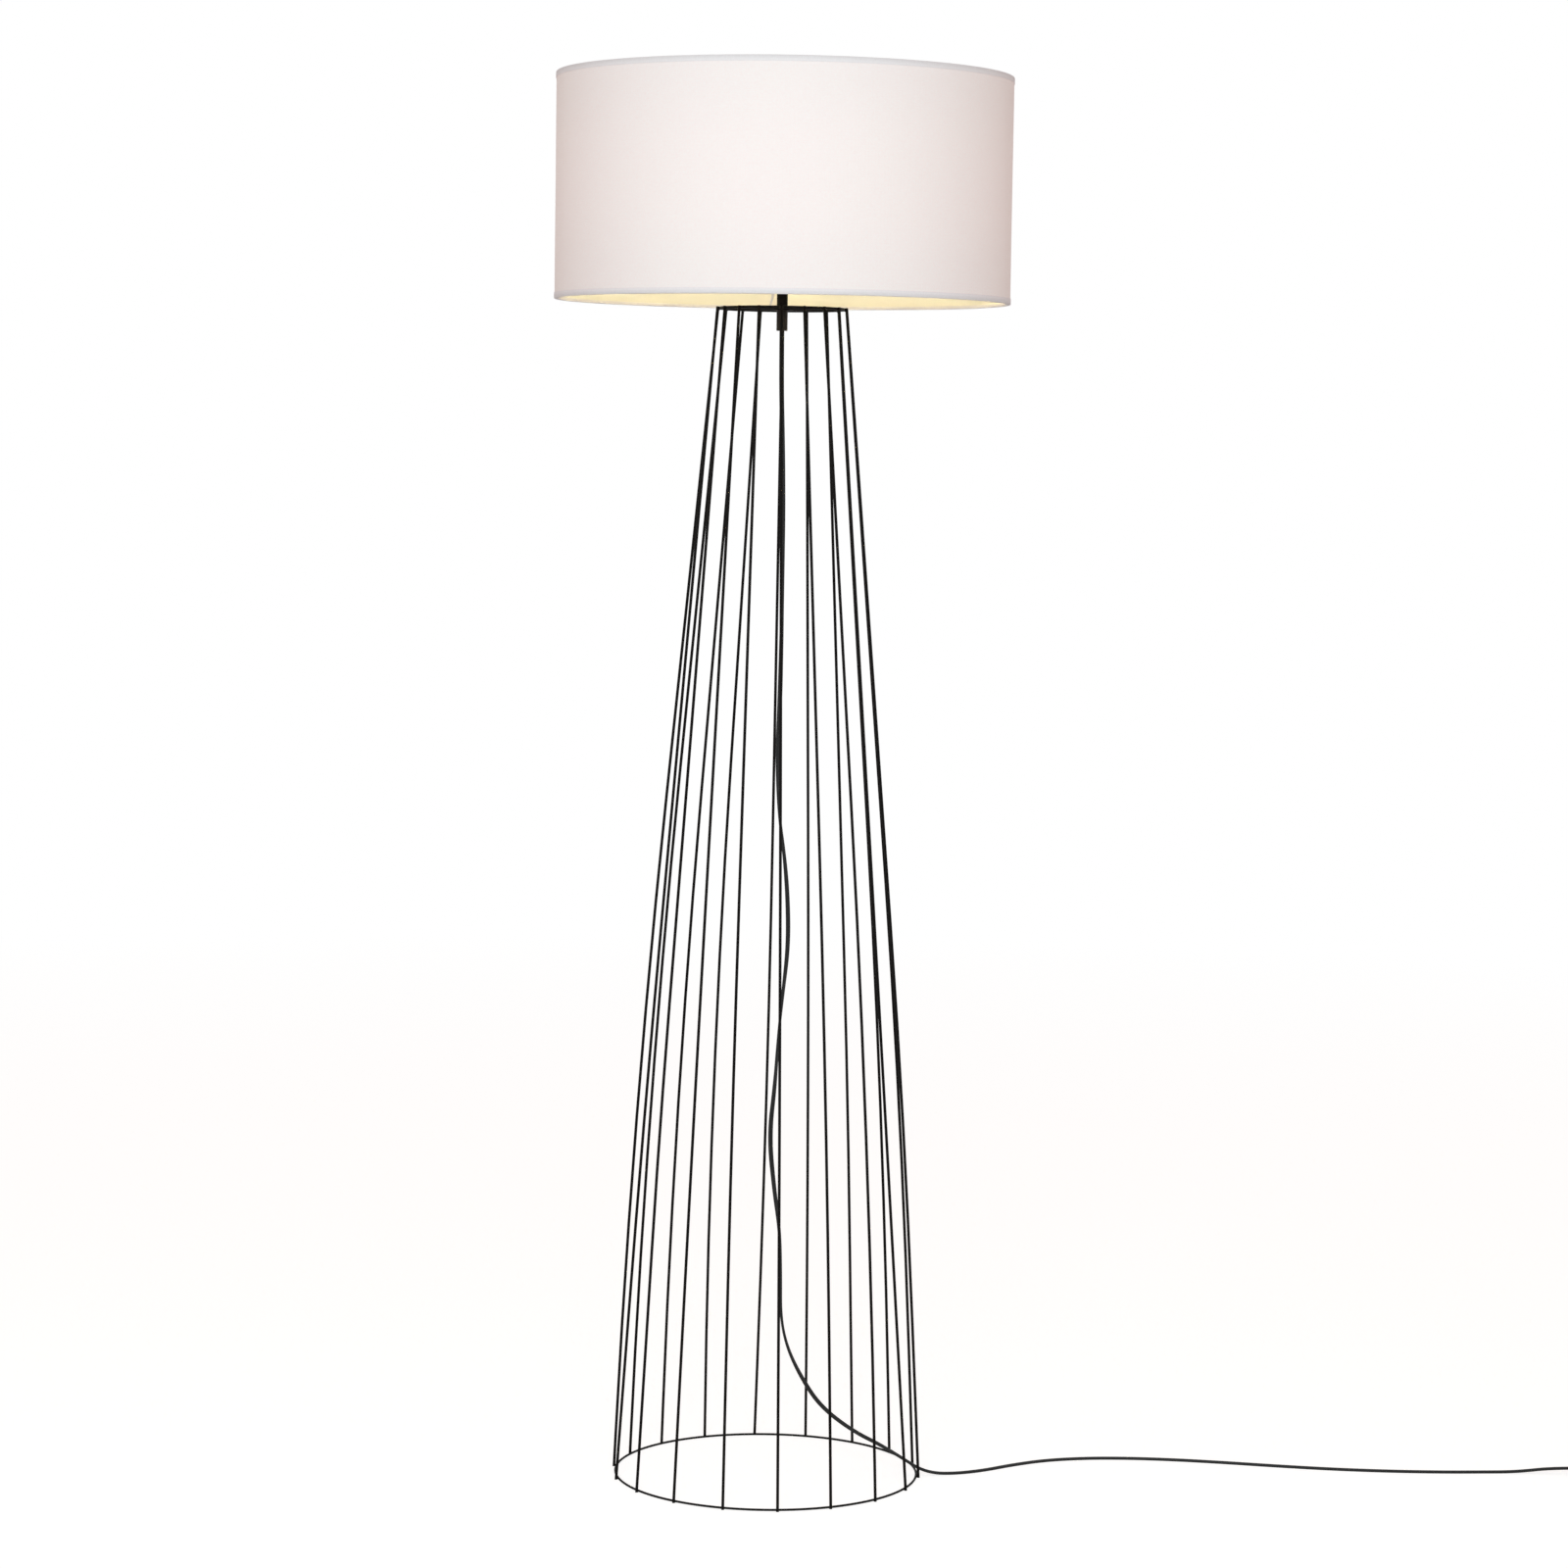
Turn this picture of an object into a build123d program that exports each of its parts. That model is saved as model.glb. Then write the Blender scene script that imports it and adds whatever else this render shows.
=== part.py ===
# Fabric shade floor lamp: a waisted cage of steel rods carries a lampholder, a bulb and a drum shade.
# Millimetres. The origin is the middle of the base on the floor, +Z is up and -Y is the front.
from build123d import *
import math
import os

os.makedirs("parts", exist_ok=True)

# Cage of rods
rod_diameter = 3.2
first_rod_angle = 5.3  # degrees from the front, towards +X, where the first rod meets the floor
foot_radius = 171.7  # from the axis to a rod's centre on the floor
waist_radius = 116.0  # the same where the bent foot part runs into the straight upper part
waist_height = 800.0
neck_radius = 71.6  # the same at the rods' top ends
neck_turn = -5.0  # degrees that the top ends are welded round from the feet
bend_radius = 14000.0  # of the long bend below the waist, or less where the bend is full
bend_fill = 0.98  # share of the run below the waist that a full bend takes
cage_height = 1299.0
weld_gap = 0.05  # between round pieces that a weld joins

# How far each rod, bent by hand, stands out from waist_radius, from the front rod on
rod_bows = [1, 1, 2, 0, -1, 0, 1, -2, 1, 1, 3, 2, 3, 2, -1, -3, 0, 0]
# Rods whose bend was welded in askew, and those whose top end is off its place, in degrees
askew_bends = {4: -60, 10: -30, 11: 40, 12: 20, 15: 50, 17: 30}
askew_ends = {8: -3, 9: -2, 12: -2}

# Rings and spokes of the cage
base_ring_wire = 2.5
top_ring_wire = 3.0
spoke_wire = 3.0
spoke_count = 4
spoke_angle = 45.0
hub_radius = 12.0
hub_thickness = 3.0

# Threaded tube, sleeve and cord grip
tube_diameter = 10.0
tube_bore = 7.6
tube_in_grip = 13.0
tube_in_cap = 6.5
thread_gap = 0.1  # radial, between a thread and what it turns in
sleeve_diameter = 12.0
sleeve_length = 20.0
grip_diameter = 12.2
grip_length = 22.3
grip_mouth = 6.0  # bore at the lower end, where the cord comes out
grip_screw_diameter = 3.0
grip_screw_height = 3.2  # above the grip's lower end
grip_edge = 0.6
screw_slot = 0.6

# Lampholder
cap_diameter = 41.0
cap_height = 30.0
cap_floor = 3.5
cap_step_height = 18.0  # where the narrow part of the bore ends and the insert sits
cap_wall = 2.0
cap_step = 2.0  # how far the step stands in from the wall
insert_thickness = 7.0
insert_gap = 0.1
shell_diameter = 39.0
shell_height = 30.0
shell_wall = 4.2
flange_diameter = 48.0
flange_thickness = 2.5
flange_height = 12.0  # underside of the flange above the cap
terminal_offset = 9.0
terminal_screw_diameter = 3.0
terminal_head_diameter = 5.4
terminal_head = 2.0
terminal_screw_depth = 5.0
screw_shell_bore = 27.1
screw_shell_wall = 0.5
screw_shell_height = 25.0
contact_strip = 0.5
contact_rise = 3.0
strip_width = 6.0

# Bulb
bulb_length = 108.0
bulb_diameter = 60.0
bulb_cap_diameter = 26.4
bulb_cap_height = 22.0
bulb_tip_diameter = 9.0
bulb_tip_height = 2.7
bulb_neck_diameter = 28.0
bulb_neck_height = 12.0
bulb_wall = 1.4
dome_edge_drop = 12.0  # from the ball's middle down to the dome's edge
contact_gap = 0.3

# Shade
shade_diameter = 500.0
shade_height = 245.0
shade_gap = 6.0  # from the rods' top ends up to the shade's lower edge
hem_height = 6.5
hem_thickness = 0.4
cover_thickness = 0.6
lining_thickness = 0.5
glue_gap = 0.05
shade_wire = 3.0

# Fitter in the shade, and the ring that clamps it
fitter_bore = 40.2
fitter_width = 8.0
fitter_thickness = 1.5
arm_wire = 3.2
arm_count = 3
arm_angle = -176.1  # degrees from the front, towards +X, of the first arm
arm_notch = 1.0  # room in the hem beside each arm
arm_weld_room = 0.4  # from an arm's inner end to the fitter ring
clamp_ring_height = 8.0
clamp_ring_width = 6.0
clamp_ring_edge = 0.8

# Cord: flat twin flex, modelled as a round tube of its width
cord_diameter = 5.4
core_diameter = 2.2
core_spacing = 2.7
cord_in_grip = 10.0
core_bend_room = 7.0  # below the terminal heads, where the cores turn outwards
turn_share = 0.45  # of the shorter run beside a corner, taken by the corner's arc
probe_step = 1.5  # between the points that a coil's gaps are measured on
bore_gap = 0.06  # radial, between the cord and a grommet or relief

# Foot switch on the cord
switch_x = 980.0
switch_y = 53.0
switch_length = 80.0
switch_width = 44.0
switch_base_height = 14.0
switch_cover_height = 11.0
switch_wall = 2.5
switch_edge = 5.0
switch_cord_level = 7.0
button_diameter = 32.0
button_gap = 0.3
button_rise = 6.0
button_wall = 2.5
button_flange = 2.0
button_flange_width = 2.0
button_travel = 3.0
stem_diameter = 9.0
spring_diameter = 7.0
spring_wire = 0.7
spring_turns = 6
bridge_length = 26.0
bridge_thickness = 1.0
bridge_level = 14.0  # underside of the brass bridge above the floor
contact_offset = 11.0
contact_length = 3.0
contact_width = 4.0
contact_clearance = 0.3  # left under the bridge when the button is down
core_bypass = 6.4  # how far the unswitched core passes from the switch's middle
core_straight = 6.6  # straight run of that core at each end of the switch
core_bend_radius = 4.4
post_x = 20.0
post_y = 13.0
post_diameter = 7.0
switch_screw_diameter = 2.8
switch_screw_head = 5.2
switch_head_height = 1.7
switch_head_sink = 0.3
switch_screw_length = 17.0
grommet_length = 24.0
grommet_wide = 9.6
grommet_narrow = 7.0

# Coil of the spare cord, with its tie
coil_x = 1144.0
coil_radius = 38.0
coil_pitch = 5.9
coil_half_turns = 7  # half turns in each of the two layers
tie_thickness = 0.8
tie_width = 9.0
tie_gap = 0.3

# Plug
plug_length = 36.0
plug_width = 27.0
plug_thickness = 14.5
plug_corner = 5.5
plug_waist = 12.0
relief_length = 30.0
relief_wide = 10.0
relief_narrow = 7.0
pin_diameter = 4.0
pin_length = 19.0
pin_spacing = 19.0
pin_root = 8.0  # how deep a pin is set in the body
pin_round = 0.8

# Route of the cord from its end in the grip to the foot switch, chosen by eye, each point (x, y, z)
lead_route = [
    (0.0, 0.0, 1222.0),
    (2.4, 0.0, 1154.0),
    (4.4, 0.0, 1082.0),
    (4.9, 0.0, 1008.0),
    (4.3, 0.0, 936.0),
    (3.6, 0.0, 866.0),
    (1.6, 0.0, 800.0),
    (4.2, 0.0, 742.0),
    (11.4, 0.0, 694.0),
    (15.6, 0.0, 646.0),
    (16.8, 0.0, 594.0),
    (11.6, 0.0, 542.0),
    (7.0, 0.0, 492.0),
    (4.4, 0.0, 440.0),
    (-1.4, 0.0, 382.0),
    (4.6, 0.0, 324.0),
    (12.2, 0.0, 272.0),
    (13.8, 0.0, 222.0),
    (14.4, 0.0, 176.0),
    (22.0, 0.0, 142.0),
    (38.0, 0.0, 109.0),
    (60.0, 0.0, 76.0),
    (96.0, -1.0, 49.0),
    (131.0, -1.5, 32.0),
    (153.0, -3.0, 20.5),
    (172.0, -4.0, 10.8),
    (190.0, -3.5, 4.6),
    (210.0, -0.5, 2.8),
    (227.0, 6.5, 2.7),
    (250.0, 20.0, 2.7),
    (277.0, 43.0, 2.7),
    (312.0, 66.0, 2.7),
    (354.0, 79.0, 2.7),
    (406.0, 84.0, 2.7),
    (462.0, 81.0, 2.7),
    (520.0, 72.0, 2.7),
    (580.0, 60.0, 2.7),
    (642.0, 50.0, 2.7),
    (706.0, 45.0, 2.7),
    (768.0, 45.5, 2.7),
    (800.0, 48.5, 2.7),
    (846.0, 52.5, 2.7),
    (894.0, 53.0, 7.0),
    (942.5, 53.0, 7.0),
]

# The same from the switch into the coil, and from the coil to the plug
coil_entry = [48.5, 96.5]  # from the switch's inner wall to the two bends
coil_exit = [30.0, 86.0]  # from the coil's last turn to the two bends
plug_distance = 110.0  # from the coil's last turn to the mouth of the plug's relief


def on_circle(radius, degrees_from_front, z=0.0):
    """A point that far from the axis, turned from the front towards +X."""
    turn = math.radians(degrees_from_front)
    return Vector(radius * math.sin(turn), -radius * math.cos(turn), z)


def save(piece, name):
    """Labels a finished piece and writes it to its own file."""
    piece.part.label = name
    export_step(piece.part, f"parts/{name}.step")


# Rods: each lies in one plane through its foot and its welded top end, and stands out from that chord
waist_share = waist_height / cage_height
chord_radius = foot_radius + (neck_radius - foot_radius) * waist_share
for number, bow in enumerate(rod_bows, start=1):
    angle = first_rod_angle + (number - 1) * 360 / len(rod_bows)
    foot = on_circle(foot_radius, angle)
    top_end = on_circle(neck_radius, angle + neck_turn + askew_ends.get(number, 0), cage_height)
    outward = on_circle(1.0, angle + askew_bends.get(number, 0))
    rod_plane = Plane(origin=foot, x_dir=outward, z_dir=outward.cross(top_end - foot))
    top_across = (top_end - foot).dot(rod_plane.x_dir)
    top_along = (top_end - foot).dot(rod_plane.y_dir)
    waist_across = top_across * waist_share + waist_radius + bow - chord_radius
    waist_along = top_along * waist_share
    top = Vector(top_across, top_along)
    waist = Vector(waist_across, waist_along)
    down = (waist - top).normalized()
    half_turn = math.radians(down.get_angle(-waist))
    bend_run = waist.length / 2 / math.cos(half_turn)
    bend = waist + down * bend_run
    full_radius = bend_run / math.tan(half_turn)
    below_floor = -bend.normalized() * rod_diameter
    rod_route = [rod_plane.from_local_coords(point) for point in (top, bend, below_floor)]
    with BuildPart() as rod:
        with BuildLine() as rod_line:
            FilletPolyline(*rod_route, radius=min(bend_radius, bend_fill * full_radius))
        with BuildSketch(Plane(origin=rod_line.line @ 0, z_dir=rod_line.line % 0)):
            Circle(rod_diameter / 2)
        sweep(path=rod_line.wires()[0])
        split(bisect_by=Plane.XY, keep=Keep.TOP)
    save(rod, f"rod_{number:02d}")

# Base ring inside the rods' feet
upper_slope = (waist_radius - neck_radius) / (cage_height - waist_height)
foot_slope = 2 * (foot_radius - waist_radius) / waist_height - upper_slope
base_ring_level = base_ring_wire / 2
base_ring_radius = (
    foot_radius - foot_slope * base_ring_level - (rod_diameter + base_ring_wire) / 2 - weld_gap
)
with BuildPart() as base_ring:
    with BuildSketch(Plane.XZ):
        with Locations((base_ring_radius, base_ring_level)):
            Circle(base_ring_wire / 2)
    revolve(axis=Axis.Z)
save(base_ring, "base_ring")

# Top ring inside the rods' top ends
neck_level = cage_height - top_ring_wire / 2
top_ring_radius = (
    neck_radius + upper_slope * top_ring_wire / 2 - (rod_diameter + top_ring_wire) / 2 - weld_gap
)
with BuildPart() as top_ring:
    with BuildSketch(Plane.XZ):
        with Locations((top_ring_radius, neck_level)):
            Circle(top_ring_wire / 2)
    revolve(axis=Axis.Z)
save(top_ring, "top_ring")

# Hub washer in the middle of the top ring
hub_bottom = neck_level - hub_thickness / 2
hub_top = neck_level + hub_thickness / 2
tube_hole = tube_diameter / 2 + thread_gap
with BuildPart() as hub_washer:
    with BuildSketch(Plane.XY.offset(hub_bottom)):
        Circle(hub_radius)
        Circle(tube_hole, mode=Mode.SUBTRACT)
    extrude(amount=hub_thickness)
save(hub_washer, "hub_washer")

# Spokes from the washer to the ring
spoke_start = hub_radius + weld_gap
spoke_end = top_ring_radius - top_ring_wire / 2 - weld_gap
with BuildPart() as hub_spokes:
    for number in range(spoke_count):
        angle = spoke_angle + number * 360 / spoke_count
        start = on_circle(spoke_start, angle, neck_level)
        with BuildSketch(Plane(origin=start, z_dir=on_circle(1.0, angle))):
            Circle(spoke_wire / 2)
        extrude(amount=spoke_end - spoke_start)
save(hub_spokes, "hub_spokes")

# Threaded tube through the washer
tube_bottom = hub_bottom - tube_in_grip
cap_bottom = hub_top + sleeve_length
tube_top = cap_bottom + tube_in_cap
with BuildPart() as threaded_tube:
    with BuildSketch(Plane.XY.offset(tube_bottom)):
        Circle(tube_diameter / 2)
        Circle(tube_bore / 2, mode=Mode.SUBTRACT)
    extrude(amount=tube_top - tube_bottom)
save(threaded_tube, "threaded_tube")

# Spacer sleeve between the washer and the lampholder
with BuildPart() as spacer_sleeve:
    with BuildSketch(Plane.XY.offset(hub_top)):
        Circle(sleeve_diameter / 2)
        Circle(tube_hole, mode=Mode.SUBTRACT)
    extrude(amount=sleeve_length)
save(spacer_sleeve, "spacer_sleeve")

# Cord grip under the washer
grip_bottom = hub_bottom - grip_length
grip_screw_level = grip_bottom + grip_screw_height
with BuildPart() as cord_grip:
    with BuildSketch(Plane.XY.offset(grip_bottom)):
        Circle(grip_diameter / 2)
    extrude(amount=grip_length)
    fillet(cord_grip.edges().group_by(Axis.Z)[0], grip_edge)
    with BuildSketch(Plane.XY.offset(grip_bottom)):
        Circle(grip_mouth / 2)
    extrude(amount=grip_length, mode=Mode.SUBTRACT)
    with BuildSketch(Plane.XY.offset(tube_bottom)):
        Circle(tube_hole)
    extrude(amount=tube_in_grip, mode=Mode.SUBTRACT)
    with BuildSketch(Plane.XZ.offset(-grip_diameter)):
        with Locations((0, grip_screw_level)):
            Circle(grip_screw_diameter / 2)
    extrude(amount=grip_diameter, mode=Mode.SUBTRACT)
save(cord_grip, "cord_grip")

# Pinch screw in the back of the grip
with BuildPart() as grip_screw:
    with BuildSketch(Plane.XZ.offset(-grip_diameter / 2 + weld_gap)):
        with Locations((0, grip_screw_level)):
            Circle(grip_screw_diameter / 2 - weld_gap)
    extrude(amount=(grip_diameter - grip_mouth) / 2)
    with BuildSketch(Plane.XZ.offset(-grip_diameter / 2 + weld_gap)):
        with Locations((0, grip_screw_level)):
            Rectangle(grip_screw_diameter, screw_slot)
    extrude(amount=screw_slot, mode=Mode.SUBTRACT)
save(grip_screw, "grip_screw")

# Lampholder cap
cap_top = cap_bottom + cap_height
step_level = cap_bottom + cap_step_height
cap_bore = cap_diameter / 2 - cap_wall
step_bore = cap_bore - cap_step
with BuildPart() as holder_cap:
    with BuildSketch(Plane.XY.offset(cap_bottom)):
        Circle(cap_diameter / 2)
    extrude(amount=cap_height)
    fillet(holder_cap.edges().group_by(Axis.Z)[0], cap_floor)
    with BuildSketch(Plane.XY.offset(cap_bottom + cap_floor)):
        Circle(step_bore)
    extrude(amount=cap_height, mode=Mode.SUBTRACT)
    with BuildSketch(Plane.XY.offset(step_level)):
        Circle(cap_bore)
    extrude(amount=cap_height, mode=Mode.SUBTRACT)
    with BuildSketch(Plane.XY.offset(cap_bottom)):
        Circle(tube_hole)
    extrude(amount=cap_floor, mode=Mode.SUBTRACT)
save(holder_cap, "holder_cap")

# Porcelain insert on the step
insert_top = step_level + insert_thickness
terminals = [(-terminal_offset, 0), (terminal_offset, 0)]
with BuildPart() as holder_insert:
    with BuildSketch(Plane.XY.offset(step_level)):
        Circle(cap_bore - insert_gap)
        with Locations(*terminals):
            Circle(terminal_screw_diameter / 2 + weld_gap, mode=Mode.SUBTRACT)
    extrude(amount=insert_thickness)
save(holder_insert, "holder_insert")

# Terminal screws in the underside of the insert
with BuildPart() as terminal_screws:
    with BuildSketch(Plane.XY.offset(step_level)):
        with Locations(*terminals):
            Circle(terminal_screw_diameter / 2)
    extrude(amount=terminal_screw_depth)
    with BuildSketch(Plane.XY.offset(step_level - terminal_head)):
        with Locations(*terminals):
            Circle(terminal_head_diameter / 2)
    extrude(amount=terminal_head)
save(terminal_screws, "terminal_screws")

# Shell, whose spigot holds the insert down and whose flange carries the shade
shell_top = cap_top + shell_height
flange_bottom = cap_top + flange_height
flange_top = flange_bottom + flange_thickness
shell_outside = shell_diameter / 2
shell_inside = shell_outside - shell_wall
with BuildPart() as holder_shell:
    with BuildSketch(Plane.XZ):
        with BuildLine():
            Polyline(
                (shell_inside, insert_top),
                (cap_bore - insert_gap, insert_top),
                (cap_bore - insert_gap, cap_top),
                (shell_outside, cap_top),
                (shell_outside, flange_bottom),
                (flange_diameter / 2, flange_bottom),
                (flange_diameter / 2, flange_top),
                (shell_outside, flange_top),
                (shell_outside, shell_top),
                (shell_inside, shell_top),
                close=True,
            )
        make_face()
    revolve(axis=Axis.Z)
save(holder_shell, "holder_shell")

# Brass screw shell and centre contact on the insert
with BuildPart() as screw_shell:
    with BuildSketch(Plane.XY.offset(insert_top)):
        Circle(screw_shell_bore / 2 + screw_shell_wall)
        Circle(screw_shell_bore / 2, mode=Mode.SUBTRACT)
    extrude(amount=screw_shell_height)
save(screw_shell, "screw_shell")

contact_flat = contact_rise - contact_strip
with BuildPart() as centre_contact:
    with BuildSketch(Plane.XZ.offset(-strip_width / 2)):
        with BuildLine():
            Polyline(
                (-terminal_offset, insert_top),
                (-contact_rise, insert_top),
                (0, insert_top + contact_flat),
                (contact_rise, insert_top + contact_flat),
                (contact_rise, insert_top + contact_rise),
                (-contact_strip / 2, insert_top + contact_rise),
                (-contact_rise - contact_strip / 2, insert_top + contact_strip),
                (-terminal_offset, insert_top + contact_strip),
                close=True,
            )
        make_face()
    extrude(amount=strip_width)
save(centre_contact, "centre_contact")

# Bulb: contact tip, screw cap, housing and opal dome
bulb_bottom = insert_top + contact_rise + contact_gap
bulb_cap_bottom = bulb_bottom + bulb_tip_height
bulb_cap_top = bulb_cap_bottom + bulb_cap_height
bulb_neck_top = bulb_cap_top + bulb_neck_height
bulb_radius = bulb_diameter / 2
ball_level = bulb_bottom + bulb_length - bulb_radius
dome_edge = ball_level - dome_edge_drop
dome_edge_radius = math.sqrt(bulb_radius**2 - dome_edge_drop**2)
with BuildPart() as bulb_tip:
    with BuildSketch(Plane.XY.offset(bulb_bottom)):
        Circle(bulb_tip_diameter / 2)
    extrude(amount=bulb_tip_height)
    fillet(bulb_tip.edges().group_by(Axis.Z)[0], bulb_tip_height / 2)
save(bulb_tip, "bulb_tip")

with BuildPart() as bulb_cap:
    with BuildSketch(Plane.XY.offset(bulb_cap_bottom)):
        Circle(bulb_cap_diameter / 2)
    extrude(amount=bulb_cap_height)
    chamfer(bulb_cap.edges().group_by(Axis.Z)[0], bulb_tip_height)
save(bulb_cap, "bulb_cap")

with BuildPart() as bulb_housing:
    with BuildSketch(Plane.XZ):
        with BuildLine():
            neck_line = Line((bulb_neck_diameter / 2, bulb_cap_top), (bulb_neck_diameter / 2, bulb_neck_top))
            flare = TangentArc(neck_line @ 1, (dome_edge_radius, dome_edge), tangent=neck_line % 1)
            Polyline(flare @ 1, (0, dome_edge), (0, bulb_cap_top), neck_line @ 0)
        make_face()
    revolve(axis=Axis.Z)
    with BuildSketch(Plane.XZ):
        with BuildLine():
            inner_neck = Line(
                (bulb_neck_diameter / 2 - bulb_wall, bulb_cap_top + bulb_wall),
                (bulb_neck_diameter / 2 - bulb_wall, bulb_neck_top),
            )
            inner_flare = TangentArc(
                inner_neck @ 1, (dome_edge_radius - bulb_wall, dome_edge), tangent=inner_neck % 1
            )
            Polyline(inner_flare @ 1, (0, dome_edge), (0, bulb_cap_top + bulb_wall), inner_neck @ 0)
        make_face()
    revolve(axis=Axis.Z, mode=Mode.SUBTRACT)
save(bulb_housing, "bulb_housing")

with BuildPart() as bulb_dome:
    with Locations((0, 0, ball_level)):
        Sphere(bulb_radius)
        Sphere(bulb_radius - bulb_wall, mode=Mode.SUBTRACT)
    split(bisect_by=Plane.XY.offset(dome_edge), keep=Keep.TOP)
save(bulb_dome, "bulb_dome")

# Fitter ring on the flange, and the ring screwed down on it
fitter_outside = fitter_bore / 2 + fitter_width
fitter_top = flange_top + fitter_thickness
with BuildPart() as fitter_ring:
    with BuildSketch(Plane.XY.offset(flange_top)):
        Circle(fitter_outside)
        Circle(fitter_bore / 2, mode=Mode.SUBTRACT)
    extrude(amount=fitter_thickness)
save(fitter_ring, "fitter_ring")

with BuildPart() as clamp_ring:
    with BuildSketch(Plane.XY.offset(fitter_top)):
        Circle(shell_outside + thread_gap + clamp_ring_width)
        Circle(shell_outside + thread_gap, mode=Mode.SUBTRACT)
    extrude(amount=clamp_ring_height)
    fillet(clamp_ring.edges().group_by(Axis.Z)[-1], clamp_ring_edge)
save(clamp_ring, "clamp_ring")

# Shade wires, layers and hems, from the outside in
shade_bottom = cage_height + shade_gap
shade_top = shade_bottom + shade_height
hem_outside = shade_diameter / 2
cover_outside = hem_outside - hem_thickness - glue_gap
cover_inside = cover_outside - cover_thickness
lining_outside = cover_inside - glue_gap
lining_inside = lining_outside - lining_thickness
wire_radius = lining_inside - glue_gap - shade_wire / 2
hem_inside = wire_radius - shade_wire / 2 - glue_gap - hem_thickness
edge_inset = hem_thickness + glue_gap
lower_wire_level = shade_bottom + edge_inset + shade_wire / 2
upper_wire_level = shade_top - edge_inset - shade_wire / 2

with BuildPart() as shade_bottom_wire:
    with BuildSketch(Plane.XZ):
        with Locations((wire_radius, lower_wire_level)):
            Circle(shade_wire / 2)
    revolve(axis=Axis.Z)
save(shade_bottom_wire, "shade_bottom_wire")

with BuildPart() as shade_top_wire:
    with BuildSketch(Plane.XZ):
        with Locations((wire_radius, upper_wire_level)):
            Circle(shade_wire / 2)
    revolve(axis=Axis.Z)
save(shade_top_wire, "shade_top_wire")

with BuildPart() as shade_cover:
    with BuildSketch(Plane.XY.offset(shade_bottom + edge_inset)):
        Circle(cover_outside)
        Circle(cover_inside, mode=Mode.SUBTRACT)
    extrude(amount=shade_height - 2 * edge_inset)
save(shade_cover, "shade_cover")

with BuildPart() as shade_lining:
    with BuildSketch(Plane.XY.offset(shade_bottom + edge_inset)):
        Circle(lining_outside)
        Circle(lining_inside, mode=Mode.SUBTRACT)
    extrude(amount=shade_height - 2 * edge_inset)
save(shade_lining, "shade_lining")

# Fitter arms from the lower wire up to the fitter ring
arm_outer = Vector(wire_radius, 0, lower_wire_level + (shade_wire + arm_wire) / 2 + weld_gap)
arm_inner = Vector(fitter_outside + arm_weld_room, 0, flange_top + fitter_thickness / 2)
arm_run = arm_inner - arm_outer
with BuildPart() as fitter_arms:
    for number in range(arm_count):
        angle = arm_angle + number * 360 / arm_count
        start = on_circle(arm_outer.X, angle, arm_outer.Z)
        inwards = on_circle(arm_run.X, angle, arm_run.Z)
        with BuildSketch(Plane(origin=start, z_dir=inwards)):
            Circle(arm_wire / 2)
        extrude(amount=arm_run.length)
save(fitter_arms, "fitter_arms")

# Hems: tape folded round each edge, the lower one notched for the arms
def hem_outline(edge, up):
    """The tape's section: an outer leg, the fold over the edge and an inner leg."""
    Polyline(
        (hem_outside, edge),
        (hem_outside, edge + up * hem_height),
        (hem_outside - hem_thickness, edge + up * hem_height),
        (hem_outside - hem_thickness, edge + up * hem_thickness),
        (hem_inside + hem_thickness, edge + up * hem_thickness),
        (hem_inside + hem_thickness, edge + up * hem_height),
        (hem_inside, edge + up * hem_height),
        (hem_inside, edge),
        close=True,
    )


notch_bottom = arm_outer.Z - arm_wire / 2 - arm_notch
with BuildPart() as shade_bottom_hem:
    with BuildSketch(Plane.XZ):
        with BuildLine():
            hem_outline(shade_bottom, 1)
        make_face()
    revolve(axis=Axis.Z)
    for number in range(arm_count):
        angle = arm_angle + number * 360 / arm_count
        leg_middle = on_circle(hem_inside + hem_thickness / 2, angle, notch_bottom)
        with BuildSketch(Plane(origin=leg_middle, x_dir=on_circle(1.0, angle), z_dir=(0, 0, 1))):
            Rectangle(2 * arm_notch, arm_wire + 2 * arm_notch)
        extrude(amount=hem_height, mode=Mode.SUBTRACT)
save(shade_bottom_hem, "shade_bottom_hem")

with BuildPart() as shade_top_hem:
    with BuildSketch(Plane.XZ):
        with BuildLine():
            hem_outline(shade_top, -1)
        make_face()
    revolve(axis=Axis.Z)
save(shade_top_hem, "shade_top_hem")

# Two cores of the cord, from its end in the grip up to the terminals
cord_start = grip_bottom + cord_in_grip
core_end = step_level - terminal_head
core_bend = core_end - core_bend_room
with BuildPart() as cord_cores:
    for side in (-1, 1):
        with BuildLine(Plane.XZ) as core_line:
            FilletPolyline(
                (side * core_spacing / 2, cord_start),
                (side * core_spacing / 2, core_bend),
                (side * terminal_offset, core_bend + core_diameter),
                (side * terminal_offset, core_end),
                radius=core_diameter,
            )
        with BuildSketch(Plane(origin=core_line.line @ 0, z_dir=core_line.line % 0)):
            Circle(core_diameter / 2)
        sweep(path=core_line.wires()[0])
save(cord_cores, "cord_cores")


# Cord from the grip to the foot switch
def bend_radii(points):
    """For each corner, the radius whose arc takes a set share of the shorter run beside it."""
    radii = []
    for before, corner, after in zip(points, points[1:], points[2:]):
        one = Vector(corner) - Vector(before)
        two = Vector(after) - Vector(corner)
        half_turn = math.radians(one.get_angle(two)) / 2
        radii.append(turn_share * min(one.length, two.length) / math.tan(half_turn))
    return radii


def report_tube(name, tube, route_length):
    """Prints a tube's length and its volume against section times length."""
    section = math.pi * cord_diameter**2 / 4
    share = tube.part.volume / (section * route_length)
    print(f"{name}: {route_length:.1f} mm long, volume {share:.4f} of section times length")


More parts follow.
